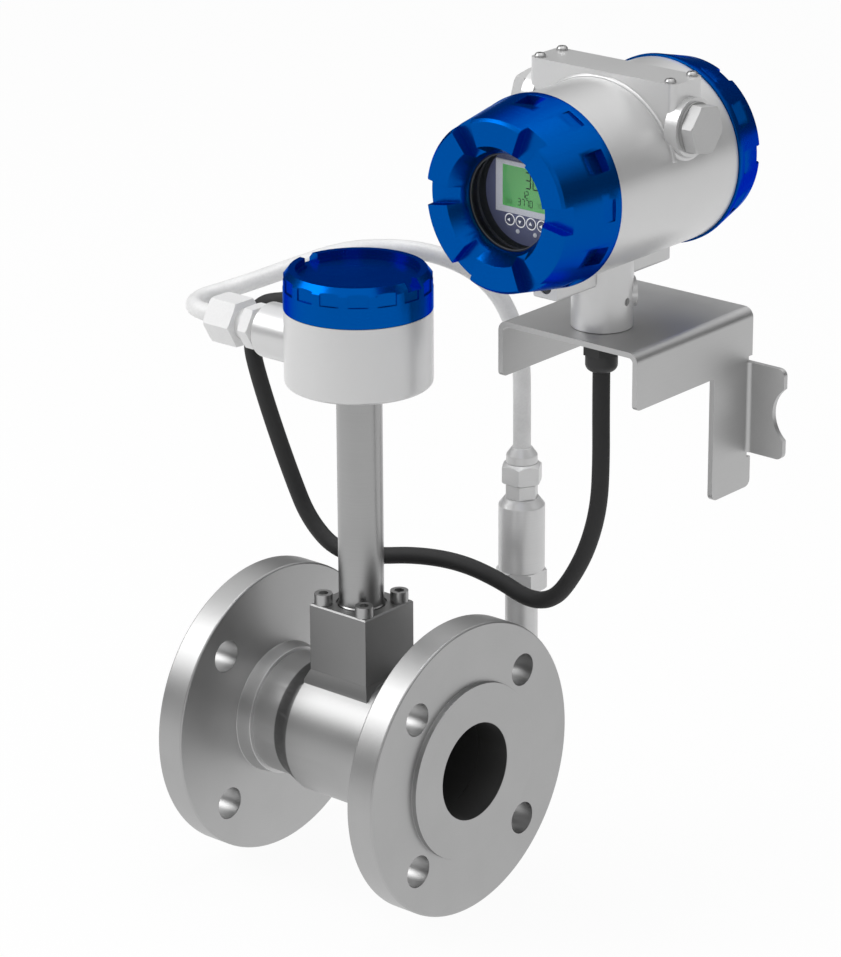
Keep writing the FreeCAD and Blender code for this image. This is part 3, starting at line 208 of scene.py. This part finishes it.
def satinSteel(name, colour, roughness=0.4, stretch=(1, 1, 1), grain=900, depth=0.004 * mm, metal=1.0):
    # blasted or brushed: the grain is drawn out where stretch is small
    paint = Finish(name, {"Metallic": metal})
    spot = paint.spot(stretch=stretch)
    fine = paint.noise(spot, grain, 4, 0.6)
    cloud = paint.noise(paint.spot(), 28, 4)
    paint.feed("Base Color", paint.mixed(cloud * 0.6 + fine * 0.4, tone(colour, 0.86), tone(colour, 1.12)))
    paint.feed("Roughness", roughness - 0.06 + fine * 0.1 + cloud * 0.04)
    paint.bump(fine, depth)
    return paint.made


def powderCoat(name, colour, roughness, peel=520, depth=0.006 * mm, metal=0.0, coat=0.0, edge=(1, 1, 1),
               shine=0.5):
    # sprayed and baked: shallow orange peel over a faintly uneven colour, a little dust in the film;
    # edge tints what is seen at a low angle
    paint = Finish(name, {"Metallic": metal, "Coat Roughness": 0.18, "Coat Weight": coat, "Specular Tint": tone(edge),
                          "Specular IOR Level": shine})
    spot = paint.spot()
    waves = paint.noise(spot, peel, 2, 0.4)
    cloud = paint.noise(spot, 22, 4)
    dust = paint.noise(spot, 2600, 1).between(0.7, 0.8)
    body = paint.mixed(cloud, tone(colour, 0.94), tone(colour, 1.05))
    paint.feed("Base Color", paint.mixed(dust * 0.15, body, tone(colour, 0.75)))
    paint.feed("Roughness", roughness - 0.04 + cloud * 0.08 + dust * 0.1)
    paint.bump(waves + dust * 0.15, depth)
    return paint.made


def moulded(name, colour, roughness=0.5, grain=1500, depth=0.008 * mm, coat=0.0, glow=0.0):
    # moulded plastic or rubber with a fine spark-eroded skin; glow, where given, makes it glow evenly, which is
    # painted light
    paint = Finish(name, {"Coat Weight": coat, "Coat Roughness": 0.25, "Emission Color": tone(colour),
                          "Emission Strength": glow})
    spot = paint.spot()
    skin = paint.noise(spot, grain, 3, 0.6)
    cloud = paint.noise(spot, 60, 3)
    paint.feed("Base Color", paint.mixed(cloud * 0.6 + skin * 0.4, tone(colour, 0.8), tone(colour, 1.25)))
    paint.feed("Roughness", roughness - 0.06 + skin * 0.12)
    paint.bump(skin, depth)
    return paint.made


def litPanel(name, colour):
    # the liquid crystal behind its film: faint pixel grid and uneven backlight
    paint = Finish(name, {"Roughness": 0.25, "Coat Weight": 0.4, "Emission Strength": 0.4})
    spot = paint.spot((headX, 0, headZ))
    glow = paint.noise(spot, 55, 2)
    grid = paint.node("ShaderNodeTexChecker", {}, {"Vector": spot, "Scale": 2400}, out=1)
    shown = paint.mixed(glow * 0.7 + grid * 0.12, tone(colour, 0.8), tone(colour, 1.15))
    paint.feed("Base Color", shown)
    paint.feed("Emission Color", shown)
    return paint.made


def clearGlass(name):
    paint = Finish(name, {"Roughness": 0.03, "Base Color": (0.10, 0.12, 0.14, 1), "IOR": 1.45})
    smear = paint.noise(paint.spot(), 45, 4)
    paint.feed("Alpha", 0.03 + smear * 0.04)
    paint.feed("Roughness", 0.02 + smear * 0.05)
    return paint.made


roundFlow = (0, 1, 1)  # rings round the flow axis
roundUpright = (1, 1, 0)  # rings round a vertical axis

# painted light and shade on the steel at each x in mm: a painted highlight on the neck, painted shade on the taper,
# then the tube; and a painted highlight on the hubs between flanges
tubeLightAndShade = [(29.0, 1.15), (45.0, 1.0), (45.6, 0.3), (57.2, 0.3), (57.8, 0.75), (140.0, 0.75)]
flangeLightAndShade = [(-1.0, 0.72), (19.9, 0.72), (20.2, 1.25), (29.3, 1.25), (29.6, 0.72), (161.0, 0.72)]
bonnetSeat = {"from": 57.2 * mm, "to": 102.8 * mm, "half": 22.8 * mm, "low": 31.4 * mm, "grey": 0.26}
finishes = {
    "flange": turnedSteel("turnedFlange", (0.60, 0.60, 0.60), (0, 0, 0), roundFlow, 0.42, 0.6 * mm, 0.003 * mm,
                          stops=flangeLightAndShade, boreShadeTo=27.4 * mm),
    "tube": turnedSteel("turnedTube", (0.54, 0.54, 0.54), (0, 0, 0), roundFlow, 0.44, 0.8 * mm, 0.003 * mm,
                        stops=tubeLightAndShade, boreShadeTo=27.4 * mm, seat=bonnetSeat),
    # the shedder bar and probe inside the bore are near black: painted shade
    "bluff": satinSteel("bluffSteel", (0.10, 0.10, 0.10), 0.5),
    "bonnet": satinSteel("bonnetSteel", (0.27, 0.27, 0.27), 0.42),
    "stem": turnedSteel("stemSteel", (0.36, 0.36, 0.36), (stemX, 0, 0), roundUpright, 0.3, 0.9 * mm, 0.002 * mm),
    "screw": satinSteel("screwSteel", (0.42, 0.42, 0.42), 0.32),
    "paint": powderCoat("housingPaint", (0.68, 0.68, 0.68), 0.32, metal=0.42, coat=0.15),
    "blue": powderCoat("coverPaint", (0.0, 0.080, 0.37), 0.24, 420, 0.004 * mm, metal=0.86,
                       edge=(0.0, 0.26, 0.9), shine=0.0),
    "gland": satinSteel("glandMetal", (0.82, 0.82, 0.82), 0.5, metal=0.1),
    "sensor": turnedSteel("sensorSteel", (0.76, 0.76, 0.76), (sensorX, sensorY, 0), roundUpright, 0.36, 0.7 * mm,
                          0.002 * mm, 0.3),
    "siphon": satinSteel("siphonSteel", (0.80, 0.80, 0.80), 0.38, metal=0.3),
    "bracket": satinSteel("bracketSteel", (0.52, 0.52, 0.52), 0.44, (1, 0.06, 1), 1100),
    "plug": satinSteel("plugMetal", (0.55, 0.55, 0.55), 0.42, metal=0.2),
    "rubber": moulded("blackRubber", (0.018, 0.018, 0.018), 0.7),
    # a painted highlight: the grey of the seal's lit inner edge
    "lip": moulded("sealLip", (0.12, 0.12, 0.115), 0.45),
    "washer": moulded("washerGrey", (0.32, 0.32, 0.32), 0.55),
    "blackPlastic": moulded("blackPlastic", (0.020, 0.020, 0.021), 0.48),
    "terminal": moulded("terminalPlastic", (0.05, 0.16, 0.07), 0.5),
    # the dial and its bezel are made lighter than they are and glow a little, and the white print glows: painted
    # light that lifts them in the shade inside the cover
    "dial": moulded("dialPlastic", (0.13, 0.145, 0.27), 0.45, 1800, 0.004 * mm, 0.2, 0.1),
    "bezel": moulded("bezelPlastic", (0.68, 0.70, 0.76), 0.42, glow=0.18),
    "panel": litPanel("displayPanel", (0.10, 0.40, 0.11)),
    "key": moulded("keyPlastic", (0.13, 0.145, 0.26), 0.35, 900, 0.004 * mm, 0.3),
    "print": moulded("whitePrint", (0.88, 0.89, 0.92), 0.5, 1200, 0.002 * mm, glow=0.45),
    "ink": moulded("displayInk", (0.006, 0.018, 0.008), 0.5, 1200, 0.002 * mm),
    "ghostInk": moulded("ghostInk", (0.05, 0.22, 0.06), 0.5, 1200, 0.002 * mm),
    "board": moulded("boardLacquer", (0.02, 0.12, 0.05), 0.3, 700, 0.006 * mm, 0.4),
    "glass": clearGlass("windowGlass"),
    "darkSheath": moulded("darkSheath", (0.012, 0.012, 0.0125), 0.68, 700, 0.02 * mm),
    "lightSheath": moulded("lightSheath", (0.80, 0.80, 0.80), 0.4, 700, 0.012 * mm, 0.15),
}
nodeFinish = {
    "inlet_flange": "flange", "outlet_flange": "flange", "meter_tube": "tube", "shedder_bar": "bluff",
    "bonnet_block": "bonnet", "bonnet_screws": "screw", "bonnet_gasket": "rubber", "piezo_probe": "bluff",
    "support_stem": "stem", "junction_cup": "paint", "junction_cap": "blue", "junction_seal": "rubber",
    "terminal_strip": "terminal", "sensor_gland_body": "gland", "sensor_gland_nut": "gland",
    "signal_gland_body": "gland", "signal_gland_nut": "gland", "pressure_lead_cap": "sensor",
    "pressure_gland_nut": "sensor", "pressure_gland_body": "sensor", "pressure_sensor_body": "sensor",
    "pressure_sensor_hex": "sensor", "siphon_pipe": "siphon", "mounting_bracket": "bracket",
    "neck_bush": "stem", "lead_gland_body": "blackPlastic", "lead_gland_dome_nut": "blackPlastic",
    "transmitter_housing": "paint", "bridge_lid": "paint", "bridge_lid_screws": "screw",
    "neck_set_screw": "screw", "plug_washer_left": "washer", "plug_washer_right": "washer",
    "blanking_plug_left": "plug", "blanking_plug_right": "plug", "front_cover": "blue", "rear_cover": "blue",
    "front_cover_seal": "rubber", "rear_cover_seal": "rubber", "window_seal": "rubber",
    "window_glass": "glass", "window_retainer": "blackPlastic", "circuit_board": "board",
    "display_module": "blackPlastic", "display_plate": "dial", "key_1": "key", "key_2": "key", "key_3": "key",
    "key_4": "key", "display_bezel": "bezel", "display_glass": "panel", "rear_terminal_block": "terminal",
}


def wear(item, finish):
    # one finish all over
    item.data.materials.clear()
    item.data.materials.append(finishes[finish])


for node, finish in nodeFinish.items():
    wear(nodes[node], finish)
print("finishes made:", len(finishes))


# the leads run through the same points, in mm, as the swept solids that they replace
routes = {
    "sensorLead": [
        (-20.5, 0, 220.5), (-34, 0, 220.5), (-46, 5, 220.5), (-51, 18, 221), (-45, 31, 223), (-29, 40, 230),
        (-6, 47, 241), (19, 55, 252.3), (43, 64, 257), (65, 76, 256), (83, 90, 247), (95, 99, 233),
        (103, 103, 215), (107.6, 104, 195), (108, 104, 170), (108, 104, 145.3),
    ],
    "signalLead": [
        (2.43, 54.32, 220.5), (-7, 60.9, 220.5), (-22, 64, 214), (-53, 63.5, 206), (-55.5, 62, 182),
        (-50, 61.5, 165), (-36, 58.5, 139), (-20.5, 56, 112), (-7, 55, 89), (14, 55, 74.5), (39, 58, 77),
        (66, 63, 83), (95, 66, 85), (123, 65, 82), (147, 62.5, 76.5), (165, 61, 82), (178, 60, 98),
        (189, 60, 119), (196, 60, 144), (197, 60, 171), (196.5, 60, 197), (196.5, 60, 220),
    ],
}
leadMesh = {"along": 10, "around": 7}
leads = {
    "sensorLead": {"node": "sensor_lead", "radius": 5.0 * mm, "length": 0.313, "finish": "lightSheath",
                   "slot": "light_sheath"},
    "signalLead": {"node": "signal_lead", "radius": 4.75 * mm, "length": 0.510, "finish": "darkSheath",
                   "slot": "dark_sheath"},
}
for name, lead in leads.items():
    points = [Vector(point) * mm for point in routes[name]]
    curve = bpy.data.curves.new(name, "CURVE")
    curve.dimensions = "3D"
    spline = curve.splines.new("NURBS")
    spline.points.add(len(points) - 1)
    for knot, point in zip(spline.points, points):
        knot.co = (*point, 1)
    spline.order_u = 3
    spline.use_endpoint_u = True
    curve.resolution_u = leadMesh["along"]
    curve.bevel_depth = lead["radius"]
    curve.bevel_resolution = leadMesh["around"]
    item = bpy.data.objects.new(name, curve)
    bpy.context.scene.collection.objects.link(item)
    curve.materials.append(finishes[lead["finish"]])
    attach(item, "meter")
    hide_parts(lead["node"])

# a long lens, as a product picture is taken: angles in degrees, right and up move the point looked at
cameraView = {"azimuth": 40.257, "elevation": 20.241, "roll": -0.311, "distance": 2.17446, "lens": 152.16,
              "sensor": 36, "clip": (0.05, 30), "centre": (80 * mm, 0, 150 * mm), "right": 32.437 * mm,
              "up": -0.755 * mm}
azimuth, elevation, roll = [math.radians(cameraView[key]) for key in ("azimuth", "elevation", "roll")]
back = Vector((math.sin(azimuth) * math.cos(elevation), -math.cos(azimuth) * math.cos(elevation),
               math.sin(elevation)))
right = Vector((0, 0, 1)).cross(back).normalized()
up = back.cross(right)
target = Vector(cameraView["centre"]) + right * cameraView["right"] + up * cameraView["up"]
tiltedRight = right * math.cos(roll) + up * math.sin(roll)
tiltedUp = up * math.cos(roll) - right * math.sin(roll)
bpy.ops.object.camera_add()
camera = bpy.context.active_object
camera.name = "photoCamera"
camera.data.sensor_width = cameraView["sensor"]
camera.data.lens = cameraView["lens"]
camera.data.clip_start, camera.data.clip_end = cameraView["clip"]
turned = Matrix((tiltedRight, tiltedUp, back)).transposed().to_4x4()
camera.matrix_world = Matrix.Translation(target + back * cameraView["distance"]) @ turned
bpy.context.scene.camera = camera

# three soft lamps in a white room: reflections see a sky that is dark low down and bright overhead, and
# the eye sees plain white
studio = {
    "keyLamp": {"at": (-1.35, -1.3, 1.75), "size": 1.7, "power": 26},
    "fillLamp": {"at": (1.9, -1.4, 0.9), "size": 1.5, "power": 3},
    "topLamp": {"at": (0.1, 0.3, 2.3), "size": 1.2, "power": 16},
    "aim": (0.09, 0.02, 0.14), "skyDiffuse": 0.42, "skyGloss": (0.10, 1.15), "glossFrom": (0.25, 0.8),
    "floorWhite": 0.95, "floorSeen": 0.95, "floorGloss": 1.0, "floorSize": 16, "floorDrop": 0.2 * mm,
}
for name in ("keyLamp", "fillLamp", "topLamp"):
    lamp = studio[name]
    bpy.ops.object.light_add(type="AREA", location=lamp["at"])
    light = bpy.context.active_object
    light.name = name
    light.data.shape = "DISK"
    light.data.size = lamp["size"]
    light.data.energy = lamp["power"]
    light.rotation_euler = (Vector(studio["aim"]) - Vector(lamp["at"])).to_track_quat("-Z", "Y").to_euler()

world = bpy.data.worlds.new("studioSky")
world.use_nodes = True
bpy.context.scene.world = world
sky = world.node_tree
sky.nodes.clear()


def skyNode(kind, settings=None, sockets=None):
    made = sky.nodes.new(kind)
    for key, value in (settings or {}).items():
        setattr(made, key, value)
    for key, value in (sockets or {}).items():
        if hasattr(value, "is_output"):
            sky.links.new(value, made.inputs[key])
        else:
            made.inputs[key].default_value = value
    return made


ray = skyNode("ShaderNodeLightPath")
direction = skyNode("ShaderNodeTexCoord")
axes = skyNode("ShaderNodeSeparateXYZ", {}, {0: direction.outputs["Generated"]})
height = skyNode("ShaderNodeMath", {"operation": "ABSOLUTE"}, {0: axes.outputs["Z"]})
(glossLow, glossHigh), (darkSky, brightSky) = studio["glossFrom"], studio["skyGloss"]
glossLevel = skyNode("ShaderNodeMapRange", {"interpolation_type": "SMOOTHSTEP"},
                     {"Value": height.outputs[0], "From Min": glossLow, "From Max": glossHigh,
                      "To Min": darkSky, "To Max": brightSky})
level = skyNode("ShaderNodeMix", {"data_type": "FLOAT"},
                {0: ray.outputs["Is Glossy Ray"], 2: studio["skyDiffuse"], 3: glossLevel.outputs[0]})
seen = skyNode("ShaderNodeMath", {"operation": "MAXIMUM"},
               {0: ray.outputs["Is Camera Ray"], 1: ray.outputs["Is Transmission Ray"]})
strength = skyNode("ShaderNodeMix", {"data_type": "FLOAT"}, {0: seen.outputs[0], 2: level.outputs[0], 3: 1.0})
background = skyNode("ShaderNodeBackground", {}, {"Color": (1, 1, 1, 1), "Strength": strength.outputs[0]})
skyNode("ShaderNodeOutputWorld", {}, {"Surface": background.outputs[0]})

bpy.ops.mesh.primitive_plane_add(size=studio["floorSize"], location=(0.1, 0, cadBox[0].z - studio["floorDrop"]))
floor = bpy.context.active_object
floor.name = "studioFloor"
floorPaint = Finish("floorPaper", {"Base Color": (*(studio["floorWhite"],) * 3, 1), "Roughness": 0.9,
                                   "Specular IOR Level": 0.1})
floorRay = floorPaint.node("ShaderNodeLightPath", out="Is Camera Ray")
floorGloss = floorPaint.node("ShaderNodeLightPath", out="Is Glossy Ray")
glow = floorPaint.node("ShaderNodeEmission", {}, {"Color": (1, 1, 1, 1), "Strength": 1.0})
paper = Wire(floorPaint, floorPaint.shader.outputs[0])
lit = floorRay * studio["floorSeen"] + floorGloss * studio["floorGloss"]
floorMix = floorPaint.node("ShaderNodeMixShader", {}, {0: lit, 1: paper, 2: glow})
floorPaint.tree.links.new(floorMix.out, floorPaint.tree.nodes["Material Output"].inputs["Surface"])
floor.data.materials.append(floorPaint.made)
bpy.context.scene.view_settings.view_transform = "Standard"
print("cords, camera and studio made")


def pick(item):
    bpy.ops.object.select_all(action="DESELECT")
    item.select_set(True)
    bpy.context.view_layer.objects.active = item


def settle(item, body, finish, slot, *stoodFor):
    # its finish, the body that it moves with, its material slot, which is not used, and the CAD pieces that it stands
    # for
    wear(item, finish)
    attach(item, body)
    if stoodFor:
        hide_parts(*stoodFor)


rounding = {"steps": 2, "sharp": math.radians(30), "flat": math.radians(0.4), "smooth": math.radians(32),
            "weld": 1e-6, "weight": 90}


def softened(node, width):
    # a merged copy of a CAD piece with its sharp edges rounded as a machinist or a mould leaves them
    pick(nodes[node])
    bpy.ops.object.duplicate()
    item = bpy.context.active_object
    bpy.ops.object.parent_clear(type="CLEAR")
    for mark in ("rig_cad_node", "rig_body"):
        del item[mark]
    words = node.split("_")
    item.name = words[0] + "".join(word.capitalize() for word in words[1:])
    bpy.ops.object.mode_set(mode="EDIT")
    bpy.ops.mesh.select_all(action="SELECT")
    bpy.ops.mesh.remove_doubles(threshold=rounding["weld"])
    bpy.ops.mesh.dissolve_limited(angle_limit=rounding["flat"])
    bpy.ops.object.mode_set(mode="OBJECT")
    edge = item.modifiers.new("rounding", "BEVEL")
    edge.width = width
    edge.segments = rounding["steps"]
    edge.limit_method = "ANGLE"
    edge.angle_limit = rounding["sharp"]
    edge.miter_outer = "MITER_ARC"
    bpy.ops.object.modifier_apply(modifier="rounding")
    bpy.ops.object.shade_smooth_by_angle(angle=rounding["smooth"])
    # keeps the flats flat beside their rounded edges
    facing = item.modifiers.new("level", "WEIGHTED_NORMAL")
    facing.keep_sharp = True
    facing.weight = rounding["weight"]
    bpy.ops.object.modifier_apply(modifier="level")
    settle(item, bodyOf[node], nodeFinish[node], slotOf[node], node)


# how wide each piece's rounded edges are, in mm
edgeWidths = {
    "inlet_flange": 0.35, "outlet_flange": 0.35, "meter_tube": 0.3, "bonnet_block": 0.25, "bonnet_screws": 0.25,
    "support_stem": 0.2, "junction_cup": 0.5, "junction_cap": 0.5, "sensor_gland_body": 0.3,
    "sensor_gland_nut": 0.35, "signal_gland_body": 0.3, "signal_gland_nut": 0.35, "pressure_lead_cap": 0.4,
    "pressure_gland_nut": 0.25, "pressure_gland_body": 0.25, "pressure_sensor_body": 0.5,
    "pressure_sensor_hex": 0.4, "mounting_bracket": 0.3, "lead_gland_body": 0.35, "lead_gland_dome_nut": 0.3,
    "transmitter_housing": 0.6, "bridge_lid": 0.35, "bridge_lid_screws": 0.15, "blanking_plug_left": 0.4,
    "blanking_plug_right": 0.4, "front_cover": 0.5, "rear_cover": 0.5, "display_bezel": 0.2,
}
for node, width in edgeWidths.items():
    softened(node, width * mm)
print("rounded copies made:", len(edgeWidths))


def choose(item, kind, test):
    # in edit mode, selects the faces or edges that pass the test, which is given the middle and the part
    shape = bmesh.from_edit_mesh(item.data)
    for part in (*shape.verts, *shape.edges, *shape.faces):
        part.select = False
    for part in getattr(shape, kind):
        middle = sum((corner.co for corner in part.verts), Vector()) / len(part.verts)
        if test(middle, part):
            part.select_set(True)
    bmesh.update_edit_mesh(item.data)


def fixed(item):
    pick(item)
    bpy.ops.object.transform_apply(location=True, rotation=True, scale=True)
    return item


def copied(item, at=(0, 0, 0), turn=(0, 0, 0)):
    pick(item)
    bpy.ops.object.duplicate()
    made = bpy.context.active_object
    made.location, made.rotation_euler = at, turn
    return fixed(made)


def joined(items, name):
    pick(items[0])
    for item in items:
        item.select_set(True)
    bpy.ops.object.join()
    made = bpy.context.active_object
    made.name = name
    return made


def gone(*items):
    for item in items:
        bpy.data.objects.remove(item)


def ring(middle, across, wide, thick, around=48):
    # a printed or moulded ring that faces -y: a torus pressed flat along its axis
    bpy.ops.mesh.primitive_torus_add(major_radius=across, minor_radius=wide / 2, major_segments=around,
                                     minor_segments=10, location=middle, rotation=(math.radians(90), 0, 0))
    item = bpy.context.active_object
    item.scale = (1, 1, thick / wide)
    fixed(item)
    bpy.ops.object.shade_smooth_by_angle(angle=math.radians(40))
    return item


# the end of the housing's cast bead, which curls back under the conduit boss on each side
# in mm and degrees: centre is y, rise is z above the head's axis, and barrel is the radius that it lies on
curl = {"centre": 69.0, "rise": 29.0, "radius": 16.2, "from": 222, "to": 292, "steps": 24, "bead": 1.55,
        "barrel": 49.4}
for side, name in ((-1, "beadCurlLeft"), (1, "beadCurlRight")):
    points = []
    for count in range(curl["steps"] + 1):
        angle = math.radians(curl["from"] + (curl["to"] - curl["from"]) * count / curl["steps"])
        y = curl["centre"] + curl["radius"] * math.cos(angle)
        z = curl["rise"] + curl["radius"] * math.sin(angle)
        x = side * math.sqrt(curl["barrel"] ** 2 - z ** 2)
        points.append((headX + x * mm, y * mm, headZ + z * mm))
    path = bpy.data.curves.new("beadCurl", "CURVE")
    path.dimensions = "3D"
    run = path.splines.new("POLY")
    run.points.add(len(points) - 1)
    for knot, point in zip(run.points, points):
        knot.co = (*point, 1)
    path.bevel_depth = curl["bead"] * mm
    path.bevel_resolution = 5
    path.use_fill_caps = True
    item = bpy.data.objects.new(name, path)
    bpy.context.scene.collection.objects.link(item)
    pick(item)
    bpy.ops.object.convert(target="MESH")
    bpy.ops.object.shade_smooth_by_angle(angle=math.radians(50))
    settle(item, "transmitter", "paint", "housing_paint")

# the marks on the liquid crystal: one bar with pointed ends, copied to every lit segment; the readings are
# in mm from the head's axis
display = {"front": -4.6 * mm, "thick": 0.12 * mm, "segments": {
    "0": "abcdef", "1": "bc", "2": "abged", "3": "abgcd", "7": "abc", "8": "abcdefg"}}
readings = {
    "mainReading": {"text": "302", "left": 0.35, "low": 4.4, "wide": 3.0, "high": 8.2, "pitch": 4.75,
                    "stroke": 0.66},
    "totalReading": {"text": "3770", "left": -4.6, "low": -5.2, "wide": 1.6, "high": 3.5, "pitch": 2.55,
                     "stroke": 0.44},
    "rateMark": {"text": "12", "left": -2.0, "low": -0.9, "wide": 1.7, "high": 3.6, "pitch": 2.3, "stroke": 0.4},
    "alarmMark": {"text": "38", "left": -12.6, "low": -5.0, "wide": 1.5, "high": 1.9, "pitch": 2.4,
                  "stroke": 0.26},
    "unitMark": {"text": "70", "left": 7.4, "low": -4.6, "wide": 1.4, "high": 2.2, "pitch": 2.2,
                 "stroke": 0.26},
}
faint = ("alarmMark", "unitMark")
# where each segment's middle is, in parts of the digit's width and height
places = {"a": (0.5, 1), "b": (1, 0.75), "c": (1, 0.25), "d": (0.5, 0), "e": (0, 0.25), "f": (0, 0.75),
          "g": (0.5, 0.5)}


def segmentBar(length, stroke):
    bpy.ops.mesh.primitive_cube_add(size=1)
    bar = bpy.context.active_object
    bar.scale = (length, display["thick"], stroke)
    fixed(bar)
    bpy.ops.object.mode_set(mode="EDIT")
    choose(bar, "edges", lambda middle, edge: abs(middle.y) < 1e-7 and abs(middle.x) > length * 0.49)
    bpy.ops.mesh.bevel(offset=stroke * 0.46, segments=1)
    bpy.ops.object.mode_set(mode="OBJECT")
    return bar


def reading(name, row):
    wide, high, stroke = row["wide"] * mm, row["high"] * mm, row["stroke"] * mm
    flat, upright = segmentBar(wide - stroke * 0.25, stroke), segmentBar(high / 2 - stroke * 0.25, stroke)
    marks = []
    for count, digit in enumerate(row["text"]):
        for segment in display["segments"][digit]:
            across, rise = places[segment]
            at = (headX + (row["left"] + count * row["pitch"]) * mm + across * wide, display["front"],
                  headZ + row["low"] * mm + rise * high)
            lying = segment in "adg"
            marks.append(copied(flat if lying else upright, at, (0, 0 if lying else math.radians(90), 0)))
    gone(flat, upright)
    settle(joined(marks, name), "transmitter", "ghostInk" if name in faint else "ink", "display_panel")


for name, row in readings.items():
    reading(name, row)

# white print round the keys and on their caps
keyPrint = {"pitch": 6.9 * mm, "down": 14 * mm, "ringRadius": 2.92 * mm, "ringWide": 0.6 * mm,
            "face": -4.0 * mm, "cap": -4.6 * mm,
            "thick": 0.1 * mm, "sign": 1.15 * mm, "rim": 0.2, "dish": 0.3, "turns": (30, 180, 0, -90)}
rings = []
for count, turn in enumerate(keyPrint["turns"]):
    x, z = headX + (count - (len(keyPrint["turns"]) - 1) / 2) * keyPrint["pitch"], headZ - keyPrint["down"]
    rings.append(ring((x, keyPrint["face"], z), keyPrint["ringRadius"], keyPrint["ringWide"], keyPrint["thick"]))
    bpy.ops.mesh.primitive_cylinder_add(vertices=3, radius=keyPrint["sign"], depth=keyPrint["thick"])
    sign = bpy.context.active_object
    bpy.ops.object.mode_set(mode="EDIT")
    choose(sign, "faces", lambda middle, face: abs(face.normal.z) > 0.9)
    bpy.ops.mesh.inset(thickness=keyPrint["sign"] * keyPrint["rim"], depth=-keyPrint["thick"] * keyPrint["dish"])
    bpy.ops.object.mode_set(mode="OBJECT")
    sign.rotation_euler = (math.radians(90), 0, 0)
    fixed(sign)
    sign.rotation_euler = (0, math.radians(turn), 0)
    sign.location = (x, keyPrint["cap"], z)
    fixed(sign)
    sign.name = "keyMark%d" % (count + 1)
    settle(sign, "key_%d" % (count + 1), "print", "key_plastic")
settle(joined(rings, "keyRings"), "transmitter", "print", "dial_plastic")

# two little lamps under the keys
dialLamp = {"radius": 1.15 * mm, "thick": 0.5 * mm, "rim": 0.3, "rise": 0.4,
            "spots": ((-5.1 * mm, -19.4 * mm), (6.1 * mm, -19.4 * mm))}
lamps = []
for x, z in dialLamp["spots"]:
    bpy.ops.mesh.primitive_cylinder_add(vertices=32, radius=dialLamp["radius"], depth=dialLamp["thick"],
                                        location=(headX + x, keyPrint["face"], headZ + z),
                                        rotation=(math.radians(90), 0, 0))
    lamp = fixed(bpy.context.active_object)
    bpy.ops.object.mode_set(mode="EDIT")
    choose(lamp, "faces", lambda middle, face: face.normal.y < -0.9)
    bpy.ops.mesh.inset(thickness=dialLamp["radius"] * dialLamp["rim"])
    bpy.ops.transform.translate(value=(0, -dialLamp["thick"] * dialLamp["rise"], 0))
    bpy.ops.object.mode_set(mode="OBJECT")
    bpy.ops.object.shade_smooth_by_angle(angle=math.radians(40))
    lamps.append(lamp)
settle(joined(lamps, "dialLamps"), "transmitter", "bezel", "dial_plastic")

# a grey ring at the inner lip of the window's seal: a painted highlight on its edge
windowLip = {"y": -17.5 * mm, "radius": 24.75 * mm, "wide": 0.36 * mm, "thick": 0.3 * mm}
lip = ring((headX, windowLip["y"], headZ), windowLip["radius"], windowLip["wide"], windowLip["thick"], around=96)
lip.name = "windowLip"
settle(lip, "front_cover", "lip", "black_rubber")
print("display marks made:", len(readings) + len(rings) + 2)

# the CAD pieces that no copy replaces
for node in nodes.values():
    if not node.hide_render:
        pick(node)
        bpy.ops.object.shade_smooth_by_angle(angle=rounding["smooth"])
